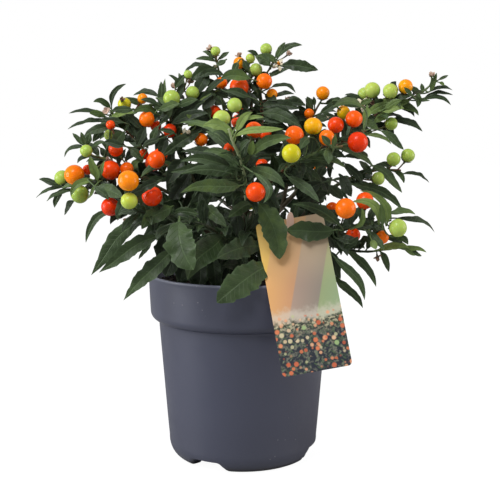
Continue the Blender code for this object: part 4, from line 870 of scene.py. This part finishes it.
def make_label():
    height = (LABEL_BOTTOM - LABEL_TOP).length
    down = (LABEL_BOTTOM - LABEL_TOP).normalized()
    normal = square_to(FRONT, down)
    across = normal.cross(down)
    half = LABEL_WIDTH / 2
    small, large = LABEL_CORNERS
    slot_u, slot_low = SLOT_SIZE[0] / 2, SLOT_BELOW_TOP - SLOT_SIZE[1] / 2
    slot_high = slot_low + SLOT_SIZE[1]

    def half_width(v):
        inset = 0.0
        if v < small:
            inset = small - math.sqrt(max(0.0, small ** 2 - (small - v) ** 2))
        if v > height - large:
            inset = large - math.sqrt(max(0.0, large ** 2 - (v - height + large) ** 2))
        return half - inset

    columns = [-half, -24.0, -19.0, -14.0, -9.0, -slot_u, 0.0, slot_u, 9.0, 14.0, 19.0, 24.0, half]
    rows = [0.0, 0.25, 0.9, 1.8, small, slot_low, slot_high]
    rows += [slot_high + (height - large - slot_high) * i / 14 for i in range(1, 15)]
    rows += [height - large * (1 - math.sin(math.pi / 2 * i / 6)) for i in range(1, 7)]
    solid = 14.0
    points, places, index = [], [], {}
    for side in (-1, 1):
        for j, v in enumerate(rows):
            for i, u in enumerate(columns):
                if abs(u) > solid:
                    narrowed = (abs(u) - solid) * (half_width(v) - solid) / (half - solid)
                    u = math.copysign(solid + narrowed, u)
                lift = side * LABEL_THICKNESS / 2 - LABEL_BULGE * (u / half) ** 2
                index[side, i, j] = len(points)
                points.append(LABEL_TOP + across * u + down * v + normal * lift)
                places.append((u / LABEL_WIDTH + 0.5, v / height))
    slot = {(5, 5), (6, 5)}
    cells = {(i, j) for i in range(len(columns) - 1) for j in range(len(rows) - 1)} - slot
    faces = []
    for i, j in sorted(cells):
        for side in (-1, 1):
            faces.append((index[side, i, j], index[side, i + 1, j], index[side, i + 1, j + 1],
                          index[side, i, j + 1]))
        for (di, dj), (a, b) in (((-1, 0), ((0, 0), (0, 1))), ((1, 0), ((1, 0), (1, 1))),
                                 ((0, -1), ((0, 0), (1, 0))), ((0, 1), ((0, 1), (1, 1)))):
            if (i + di, j + dj) not in cells:
                faces.append((index[-1, i + a[0], j + a[1]], index[-1, i + b[0], j + b[1]],
                              index[1, i + b[0], j + b[1]], index[1, i + a[0], j + a[1]]))
    u_values, v_values = zip(*places)
    shape = Shape()
    shape.add(points, faces, card_u=u_values, card_v=v_values)
    shape.make("label_card", card_material(), ("plant_label",), "label_card", 30)


def make_stake():
    down = Vector((0, 0.127, -1)).normalized()
    across = Vector((1, 0, 0))
    depth = down.cross(across)
    length = (STAKE_TOP.z - STAKE_FOOT_Z) / -down.z
    half_width, half_depth = (size / 2 for size in STAKE_SIZE)
    straight = length - STAKE_ROUND - STAKE_POINT
    rows = [0.0, 0.15, 0.5, 1.1, 2.0, 3.3, 5.0, 6.5, STAKE_ROUND]
    rows += [STAKE_ROUND + straight * i / 16 for i in range(1, 17)]
    rows += [length - STAKE_POINT / 2, length]
    section = ((-1, -0.7), (-0.85, -1), (0, -1), (0.85, -1), (1, -0.7), (1, 0.7), (0.85, 1), (0, 1),
               (-0.85, 1), (-1, 0.7))
    points = []
    for v in rows:
        width = half_width
        if v < STAKE_ROUND:
            width = half_width * math.sqrt(max(0.0, 1 - (1 - v / STAKE_ROUND) ** 2))
        if v > length - STAKE_POINT:
            width = max(0.8, half_width * (length - v) / STAKE_POINT)
        width = max(width, 0.25)
        centre = STAKE_TOP + down * v
        points += [centre + across * a * width + depth * b * half_depth for a, b in section]
    sides = len(section)
    shape = Shape()
    shape.add(points, skin([range(i, i + sides) for i in range(0, len(points), sides)]))
    shape.make("label_stick", stake_material(), ("label_stake",), "label_stake", 35)


# ---------------------------------------------------------------- leaves

BLADE_THICK = 0.16
RIB_THICK = 0.34

# Places across a blade, from margin to margin, for narrow and broad leaves.
COLUMNS = ((-1.0, -0.6, -0.12, 0.12, 0.6, 1.0), (-1.0, -0.72, -0.38, -0.1, 0.1, 0.38, 0.72, 1.0))


def route_of(name):
    branch, route = SHOOTS[name]
    return [Vector(BRANCHES[branch][1])] + [Vector(p) for p in route]


def on_shoot(name, place):
    return on_curve(route_of(name), place)


def foot_of(name, start, heading):
    """Where a leaf's stalk leaves its shoot: the spot nearest to a little behind the blade."""
    behind = start - heading * 6.0
    spots = [on_shoot(name, 0.03 + 0.94 * i / 40) for i in range(41)]
    return min(spots, key=lambda spot: (spot - behind).length)


def curve(start, control, end, t):
    return start * (1 - t) ** 2 + control * 2 * t * (1 - t) + end * t * t


def leaf_stalk(shape, foot, start, heading, width, tone):
    reach = (start - foot).length
    if reach < 1.5:
        return
    control = start - heading * reach * 0.5
    steps = max(3, int(reach / 3))
    end = start + heading * 1.5
    path = [curve(foot, control, end, i / steps) for i in range(steps + 1)]
    thick = 0.5 + 0.012 * width
    shape.add(*tube(path, [thick + 0.2 - 0.2 * i / steps for i in range(steps + 1)], 6),
              under=0.6, tone=tone, young=0.25 * tone)


def outline_of(length, width):
    """How blunt a blade's tip is, and the number that brings its widest part to its width."""
    if width > 14 and length < 2.6 * width:
        return 0.72, 0.3609
    if width > 9 and length > 3.4 * width:
        return 1.15, 0.2796
    return 0.9, 0.3141


def leaf(shape, start, tip, width, face, bow, tone, rng, hook=0.0):
    """A closed blade, folded along an arched midrib, with waved margins. Returns its heading."""
    chord = tip - start
    length = chord.length
    along = chord.normalized()
    normal = square_to(UP * (1 - abs(face)) + FRONT * face, along)
    rise = square_to(UP, along) if (UP - along * UP.dot(along)).length > 0.2 else normal
    broad = width > 10
    rows = 30 if broad else 16
    columns = COLUMNS[broad]
    fold = math.radians(rng.uniform(8, 26))
    curl = rng.uniform(-0.1, 0.3)
    waves = math.tau * length / rng.uniform(11.0, 17.0)
    phases = (rng.uniform(0, math.tau), rng.uniform(0, math.tau))
    wave = rng.uniform(0.05, 0.12)
    twist = math.radians(rng.uniform(-22, 22))
    sway = rng.uniform(-0.03, 0.03)
    blunt, fullest = outline_of(length, width)
    centres = []
    for i in range(rows + 1):
        t = i / rows
        if isinstance(bow, tuple):
            centres.append(curve(start, Vector(bow) * 2 - (start + tip) / 2, tip, t))
            continue
        lift = bow * 4 * t * (1 - t) * (0.8 + 0.4 * t) + hook * 1.6 * t * t * (1 - t ** 5)
        centres.append(start + chord * t + rise * length * lift
                       + along.cross(normal) * length * sway * math.sin(math.tau * t))
    points, marks, upper, lower = [], [], [], []
    for i, centre in enumerate(centres[:-1]):
        t = i / rows
        tangent = (centres[i + 1] - centres[max(i - 1, 0)]).normalized()
        up = square_to(normal, tangent)
        side = tangent.cross(up)
        turn = twist * (t - 0.3)
        side, up = (side * math.cos(turn) + up * math.sin(turn),
                    up * math.cos(turn) - side * math.sin(turn))
        swell = t ** 0.75 * (1 - t) ** blunt / fullest
        full = min(1.0, swell * 2)
        half = max(width * 0.5 * swell, 0.55 if t < 0.6 else 0.0)
        row_up, row_low = [], []
        for level in (1, -1):
            for a in columns:
                margin = abs(a) == 1.0
                if level == -1 and margin:
                    row_low.append(row_up[0] if a < 0 else row_up[-1])
                    continue
                phase = phases[0] if a < 0 else phases[1]
                ripple = 0.65 * math.sin(waves * t + phase) + 0.4 * math.sin(waves * 1.7 * t + 2.0 * phase)
                ripple *= full
                teeth = 0.35 * full * math.sin(waves * 2.7 * t + 3.0 * phase)
                lift = abs(a) * half * math.sin(fold) * min(1.0, swell * 1.5)
                lift += a * a * half * (wave * 2 * ripple - curl)
                reach = a * half * math.cos(fold) * (1 + 1.07 * abs(a) * wave * (ripple + teeth))
                thick = BLADE_THICK + (RIB_THICK * (1 - 0.6 * t) if abs(a) < 0.2 else 0.0)
                if margin:
                    thick = 0.0
                (row_up if level == 1 else row_low).append(len(points))
                points.append(centre + side * reach + up * (lift + thick * (0.4 if level == 1 else -1.0)))
                marks.append((a * half, t * length, abs(a) if swell > 0.15 else 0.0,
                              0.5 if margin else (1 - level) / 2))
        upper.append(row_up)
        lower.append(row_low)
    faces = []
    last = len(points)
    points.append(tip)
    marks.append((0.0, length, 1.0, 0.5))
    for sheet in (upper, lower):
        for first, second in zip(sheet, sheet[1:] + [None]):
            for k in range(len(columns) - 1):
                ahead = (second[k + 1], second[k]) if second else (last,)
                faces.append((first[k], first[k + 1]) + ahead)
    faces.append(tuple(upper[0]) + tuple(reversed(lower[0][1:-1])))
    across, lengthwise, edge, under = zip(*marks)
    shape.add(points, faces, across=across, along=lengthwise, edge=edge, under=under, tone=tone,
              young=max(0.0, tone - 0.62) * 0.9)
    return (centres[1] - centres[0]).normalized()


# ---------------------------------------------------------------- fruits and flowers

FRUIT_SLOTS = ((0.2, "green_berry"), (0.5, "yellow_berry"), (0.8, "orange_berry"), (1.1, "red_berry"))
FRUIT_RINGS = 16
FRUIT_SIDES = 28

# Faces of a sepal or petal: four rings of three upper and three lower points, and a tip.
PETAL_FACES = skin([[6 * ring + k for k in (0, 1, 2, 5, 4, 3)] for ring in range(4)], 24)

# Kinds of flower: petal reach, half width, opening angle, crumpling, dried and blush shares.
FLOWER_KINDS = {
    "open": (7.2, 1.7, 84, 0.06, 0.0, 0.0),
    "faded": (4.6, 1.7, 38, 0.5, 0.25, 0.6),
    "cup": (3.8, 1.4, 24, 0.3, 0.5, 0.8),
    "dry": (4.6, 1.6, 30, 0.8, 0.9, 0.3),
    "bud": (4.6, 1.9, 9, 0.1, 0.05, 0.1),
}


def outward(azimuth, angle):
    """A direction that leans from +Z by an angle towards an azimuth."""
    out = Vector((math.cos(azimuth), math.sin(azimuth), 0))
    return out * math.sin(angle) + UP * math.cos(angle)


def fruit(centre, diameter, ripeness, stalk, rng):
    """A slightly flattened ball with a dimple at the stalk and a small scar at the other end."""
    turn = UP.rotation_difference(stalk)
    squash = rng.uniform(0.95, 1.0)
    points, ends = [], []
    for i in range(FRUIT_RINGS + 1):
        polar = math.pi * i / FRUIT_RINGS
        dimple = 0.07 * math.exp(-(polar / 0.34) ** 2) + 0.02 * math.exp(-((math.pi - polar) / 0.16) ** 2)
        for k in range(1 if i in (0, FRUIT_RINGS) else FRUIT_SIDES):
            unit = outward(math.tau * k / FRUIT_SIDES, polar)
            r = diameter / 2 * (1 + 0.012 * noise.noise(unit * 1.7 + centre * 0.05)) * (1 - dimple)
            points.append(turn @ Vector((unit.x * r, unit.y * r, unit.z * r * squash)) + centre)
            ends.append(unit.z)
    last = len(points) - 1
    rings = [range(i, i + FRUIT_SIDES) for i in range(1, last, FRUIT_SIDES)]
    faces = skin(rings, last)[:-1]
    faces += [(0, rings[0][k], rings[0][(k + 1) % FRUIT_SIDES]) for k in range(FRUIT_SIDES)]
    shape = Shape()
    shape.add(points, faces, ripe=ripeness, end=ends)
    return shape


def calyx(shape, centre, radius, stalk, rng):
    """Five narrow sepals that lie on the fruit round its stalk."""
    turn = UP.rotation_difference(stalk)
    start = rng.uniform(0, math.tau)
    reach = rng.uniform(0.75, 1.0) * min(1.0, 5.5 / radius)
    for k in range(5):
        a = start + math.tau * k / 5
        side = Vector((-math.sin(a), math.cos(a), 0))
        points = []
        for polar, half, lift in ((0.02, 0.6, 0.5), (0.3, 1.25, 0.45), (0.6, 1.0, 0.5), (0.85, 0.6, 0.7)):
            middle = outward(a, polar * reach)
            for height in (lift, lift - 0.35):
                for w in (-half, 0.0, half):
                    bulge = 0.15 if w == 0 else 0.0
                    points.append(turn @ (middle * (radius + height + bulge) + side * w) + centre)
        points.append(turn @ (outward(a, 1.08 * reach) * (radius + 1.0)) + centre)
        shape.add(points, PETAL_FACES, wood=0.05)


def petal(shape, centre, turn, azimuth, size, values, rng):
    """A closed petal or sepal that leaves the flower's axis at an opening angle."""
    reach, half, angle, crumple = size
    side = Vector((-math.sin(azimuth), math.cos(azimuth), 0))
    points = []
    spine = Vector((0, 0, 0))
    tilt = math.radians(angle * 0.6)
    for step, width in ((0.0, 0.45), (0.3, 0.85), (0.3, 1.0), (0.22, 0.65)):
        tilt += math.radians(angle * 0.17 + crumple * rng.uniform(-40, 40))
        heading = outward(azimuth, tilt)
        normal = heading.cross(side)
        spine = spine + heading * reach * step
        for lift in (0.0, 0.3):
            for w in (-1.0, 0.0, 1.0):
                cup = 0.18 * half * abs(w) * width
                points.append(turn @ (spine + side * w * half * width - normal * (lift + cup)) + centre)
    points.append(turn @ (spine + heading * reach * 0.18) + centre)
    shape.add(points, PETAL_FACES, **values)


def flower(shape, stems, centre, kind, facing, rng):
    """Five petals round a heart of stamens, with five green sepals behind them."""
    reach, half, angle, crumple, dried, blush = FLOWER_KINDS[kind]
    turn = UP.rotation_difference(facing)
    start = rng.uniform(0, math.tau)
    back = centre - facing * 1.2
    sepal = (reach * 0.6, 0.9, min(angle + 14, 70), 0.1)
    for k in range(5):
        azimuth = start + math.tau * k / 5
        colours = {"dried": dried, "blush": blush}
        petal(shape, back, turn, azimuth, (reach, half, angle, crumple), colours, rng)
        petal(stems, back - facing * 0.5, turn, azimuth + math.tau / 10, sepal, {"wood": 0.1}, rng)
    if kind == "open":
        for k in range(6):
            a = math.tau * k / 5
            ring = 0.0 if k == 5 else 0.8
            foot = back + turn @ Vector((ring * math.cos(a), ring * math.sin(a), 0.2))
            path = [foot, foot + facing * 1.8, foot + facing * 3.4]
            shape.add(*tube(path, (0.5, 0.6, 0.35), 6), heart=1.0)


# ---------------------------------------------------------------- plant

def make_plant():
    """All that grows: a stems and a leaves piece for each branch, the fruits and the flowers."""
    rng = random.Random(SEED)
    stems = {branch: Shape() for branch in BRANCHES}
    leaves = {branch: Shape() for branch in BRANCHES}
    spheres = make_fruits(stems, rng)
    for branch, (fork, hub) in BRANCHES.items():
        start, end = Vector((0, 0, fork)), Vector(hub)
        middle = start.lerp(end, 0.55) + Vector((0, 0, -2.0))
        path = [on_curve([start, middle, end], i / 8) for i in range(9)]
        stems[branch].add(*tube(path, [3.4 - 0.1 * i for i in range(9)], 10), wood=0.95)
    for name, (branch, route) in SHOOTS.items():
        steps = 7 * len(route)
        path = [on_shoot(name, i / steps) for i in range(steps + 1)]
        radii = [2.1 - 1.3 * i / steps + 0.12 * math.sin(i * 2.4) for i in range(steps + 1)]
        woods = [max(0.0, 0.8 - 1.0 * i / steps) for i in range(steps + 1) for _ in range(8)]
        pale = 1.0 if name == "centre_front" else 0.0
        stems[branch].add(*tube(path, radii, 8), wood=woods, pale=pale)
        for start, tip, width, face, bow, tone in LEAVES[name]:
            tip, foot = Vector(tip), None
            if isinstance(start, tuple):
                start = Vector(start)
            else:
                foot = on_shoot(name, start)
                start = foot.lerp(tip, 0.12)
            if not isinstance(bow, tuple):
                bow /= 100
            tone /= 100
            heading = leaf(leaves[branch], start, tip, width, face / 100, bow, tone, rng)
            if foot is None:
                foot = foot_of(name, start, heading)
            leaf_stalk(leaves[branch], foot, start, heading, width, tone)
        fill_shoot(name, leaves[branch], spheres, rng)
    fill_middle(leaves, spheres, rng)
    make_flowers(stems, rng)
    wood, green = stem_material(), leaf_material()
    for branch in BRANCHES:
        stems[branch].make("stems_" + branch, wood, (branch,), "foliage", 60)
        leaves[branch].make("leaves_" + branch, green, (branch,), "foliage", 70)


def make_fruits(stems, rng):
    """A piece for each fruit, with its stalk and calyx among the stems. Returns (centre, radius) of all."""
    skin_material = berry_material()
    spheres = []
    for number, (shoot, place, ripeness, *own) in enumerate(BERRIES + MORE_BERRIES, 1):
        if own:
            replaced, centre, diameter = (), Vector(own[0]), own[1]
        else:
            replaced = (f"berry_{number:02d}",)
            low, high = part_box(*replaced)
            centre = (low + high) / 2 / MM
            diameter = max(high - low) / MM
        root = on_shoot(shoot, min(place, 0.97))
        stalk = (root - centre + Vector((0, 0, -5.0))).normalized()
        slot = next(name for limit, name in FRUIT_SLOTS if ripeness < limit)
        ball = fruit(centre, diameter, ripeness, stalk, rng)
        ball.make(f"fruit_{number:02d}", skin_material, replaced, slot, 60)
        spheres.append((centre, diameter / 2))
        shape = stems[SHOOTS[shoot][0]]
        seat = centre + stalk * diameter * 0.47
        reach = (root - seat).length
        bend = seat + stalk * reach * 0.45 + UP
        path = [seat, seat + stalk * min(2.0, reach * 0.3)]
        path += [seat.lerp(bend, 0.7), bend.lerp(root, 0.45), root]
        shape.add(*tube(path, (1.5, 0.9, 0.65, 0.6, 0.75), 7), wood=0.1)
        calyx(shape, centre, diameter / 2, stalk, rng)
    return spheres


def make_flowers(stems, rng):
    blooms = Shape()
    for name, centre, kind, facing in FLOWERS:
        centre, facing = Vector(centre), Vector(facing).normalized()
        foot = foot_of(name, centre, facing)
        shape = stems[SHOOTS[name][0]]
        flower(blooms, shape, centre, kind, facing, rng)
        back = centre - facing * 2.0
        control = back - facing * 0.5 * (back - foot).length
        path = [curve(back, control, foot, i / 6) for i in range(7)]
        shape.add(*tube(path, (0.9, 0.7, 0.55, 0.5, 0.5, 0.55, 0.7), 6), wood=0.05)
    blooms.make("flowers", petal_material(), sharp=60)


LEAF_SPACING = 2.8
SPIRAL_TURN = math.radians(137.5)


def fill_shoot(name, shape, spheres, rng):
    """More, smaller leaves in a spiral along a shoot, clear of the fruits, gaps and label."""
    points = route_of(name)
    count = int(sum((b - a).length for a, b in zip(points, points[1:])) / LEAF_SPACING)
    turn = rng.uniform(0, math.tau)
    for i in range(count):
        place = 0.08 + 0.8 * i / count
        base = on_shoot(name, place)
        tangent = (on_shoot(name, min(place + 0.03, 1.0)) - on_shoot(name, place - 0.03)).normalized()
        turn += SPIRAL_TURN
        across = tangent.cross(UP).normalized()
        radial = across * math.cos(turn) + across.cross(tangent) * math.sin(turn)
        length = (38 - 18 * place) * rng.uniform(0.75, 1.15)
        ahead = (tangent * rng.uniform(0.4, 0.9) + radial + Vector((0, 0, 0.15))).normalized()
        tip = base + ahead * length + Vector((0, 0, -0.12 * length))
        width = max(5.0, length * rng.uniform(0.24, 0.34))
        face = rng.uniform(0.3, 0.9)
        if base.y + ahead.y * 40 > 30:
            face = -face
        start = base.lerp(tip, 0.12)
        # tone, partly painted light and shade as in LEAVES, is lower towards the shoot's base
        tone = 0.45 * rng.random() * (0.4 + 0.6 * place)
        if fits(base, tip, width, spheres):
            heading = leaf(shape, start, tip, width, face, rng.uniform(0.06, 0.16), tone, rng, 0.06)
            leaf_stalk(shape, base, start, heading, width, tone)


# Where the inner leaves, dark with painted shade, hang over the pot's mouth: two corners of a box that
# their middles lie in, and how many are tried.
INNER = (
    ((-78, -62, 170), (14, -40, 184), 26),
    ((-84, -34, 184), (4, -10, 204), 26),
    ((-76, -48, 198), (20, 10, 236), 60),
    ((16, -30, 170), (78, 0, 206), 20),
)
LOW_SHOOTS = ("far_left", "left_front", "low_left", "low_mid", "low_right", "right_low", "right_lowest")


def fill_middle(leaves, spheres, rng):
    """Dark leaves that hang in the middle of the plant and over the pot's mouth; their darkness is painted
    shade.
    """
    for low, high, count in INNER:
        for _ in range(count):
            middle = Vector([rng.uniform(a, b) for a, b in zip(low, high)])
            lean = middle.x / 90 + rng.uniform(-0.5, 0.5)
            hang = Vector((lean, rng.uniform(-0.4, 0.1), -1.0)).normalized()
            half = hang * rng.uniform(14, 18)
            start, tip = middle - half, middle + half
            width = rng.uniform(13, 18)
            if not fits(start, tip, width, spheres):
                continue
            name = min(LOW_SHOOTS, key=lambda shoot: (foot_of(shoot, start, hang) - start).length)
            shape = leaves[SHOOTS[name][0]]
            # painted shade: the lowest tones, for the plant's shaded inside
            tone = rng.uniform(0.0, 0.16)
            heading = leaf(shape, start, tip, width, 0.9, 0.04, tone, rng)
            leaf_stalk(shape, foot_of(name, start, heading), start, heading, width, tone)


# How far the tips of the added leaves may lie to a side, to front or rear, above and below.
SIDE_LIMIT, DEPTH_LIMIT, TOP_LIMIT, LOW_LIMIT = 182, 131, 366, 160


def fits(base, tip, width, spheres):
    """Whether a leaf stays in the part's box, off the fruits and label, and hides no fruit or gap."""
    if abs(tip.x) > SIDE_LIMIT or abs(tip.y) > DEPTH_LIMIT or not LOW_LIMIT <= tip.z <= TOP_LIMIT:
        return False
    for k in range(1, 9):
        p = base.lerp(tip, k / 8)
        for centre, radius in spheres:
            off = p - centre
            if off.length < radius + 2.5:
                return False
            if off.y < 0 and math.hypot(off.x, off.z) < radius * 0.9:
                return False
        before_label = 5 < p.x < 95 and p.y < -62 and p.z < 226
        in_rim = math.hypot(p.x, p.y) > 73 and p.z < 178
        if before_label or in_rim:
            return False
        seen = EYE + (p - EYE) * (EYE.y / (EYE.y - p.y))
        for x, z, radius in GAPS:
            if math.hypot(seen.x - x, seen.z - z) < radius + width * 0.4:
                return False
    return True


def make_trunk():
    path = [Vector((0.6 * math.sin(z * 0.07), 0.6 * math.cos(z * 0.05), z)) for z in range(122, 208, 3)]
    rng = random.Random(SEED)
    radii = [5.9 - 0.5 * (p.z - 122) / 40 + rng.uniform(-0.2, 0.2) for p in path]
    points, faces = tube(path, radii, 20)
    for p in points:
        bark = noise.noise(Vector((p.x, p.y, p.z * 0.25)) * 0.5)
        p += Vector((p.x, p.y, 0)).normalized() * 0.5 * bark
    shape = Shape()
    shape.add(points, faces, wood=1.0)
    shape.make("trunk", stem_material(), ("main_stem",), "bark", 60)


# ---------------------------------------------------------------- stage

def area_light(name, place, target, power, colour=(1.0, 1.0, 1.0)):
    light = bpy.data.lights.new(name, "AREA")
    light.color = colour
    light.shape = "DISK"
    light.size = 1.0
    light.energy = power
    lamp = bpy.data.objects.new(name, light)
    lamp.location = place
    lamp.rotation_euler = (Vector(target) - Vector(place)).to_track_quat("-Z", "Y").to_euler()
    bpy.context.scene.collection.objects.link(lamp)


def make_stage():
    scene = bpy.context.scene
    scene.view_settings.view_transform = "Standard"
    world = bpy.data.worlds.new("studio")
    world.use_nodes = True
    tree = world.node_tree
    backdrop = tree.nodes["Background"]
    seen = tree.nodes.new("ShaderNodeLightPath").outputs["Is Camera Ray"]
    strength = tree.nodes.new("ShaderNodeMapRange")
    tree.links.new(seen, strength.inputs["Value"])
    strength.inputs["To Min"].default_value = 0.42
    strength.inputs["To Max"].default_value = 1.0
    tree.links.new(strength.outputs["Result"], backdrop.inputs["Strength"])
    backdrop.inputs["Color"].default_value = (1.0, 1.0, 1.0, 1.0)
    scene.world = world
    far = 6
    mesh = bpy.data.meshes.new("floor")
    mesh.from_pydata([(-far, -far, 0), (far, -far, 0), (far, far, 0), (-far, far, 0)], [], [(0, 1, 2, 3)])
    floor = bpy.data.objects.new("floor", mesh)
    scene.collection.objects.link(floor)
    n = Nodes("floor_paint", 0.9, 0.1)
    n.shader.inputs["Emission Color"].default_value = (1.0, 1.0, 1.0, 1.0)
    n.put(n.shader.inputs["Emission Strength"], n.times(n.seen(), 0.96))
    paint = n.mix(n.noise(3.0), rgb(168, 168, 170), rgb(174, 174, 174))
    mesh.materials.append(n.finish(n.mix(n.seen(), paint, rgb(90, 90, 90))))
    area_light("key", (-0.6, -1.2, 1.9), (0, 0, 0.2), 30)
    area_light("side", (-1.5, -0.3, 0.4), (0, 0, 0.15), 17)
    area_light("fill", (1.4, -0.1, 0.4), (0, 0, 0.15), 10, (1.0, 0.92, 0.84))
    camera_data = bpy.data.cameras.new("camera")
    camera_data.lens = 71.28
    look_down, turn_right = math.radians(7.27), math.radians(0.42)
    camera_data.sensor_width = 36.0
    camera_data.clip_start = 0.05
    camera = bpy.data.objects.new("camera", camera_data)
    camera.location = EYE * MM
    camera.rotation_euler = (math.radians(90) - look_down, 0.0, -turn_right)
    scene.collection.objects.link(camera)
    scene.camera = camera


make_stage()
make_pot()
make_soil()
make_label()
make_stake()
make_trunk()
make_plant()
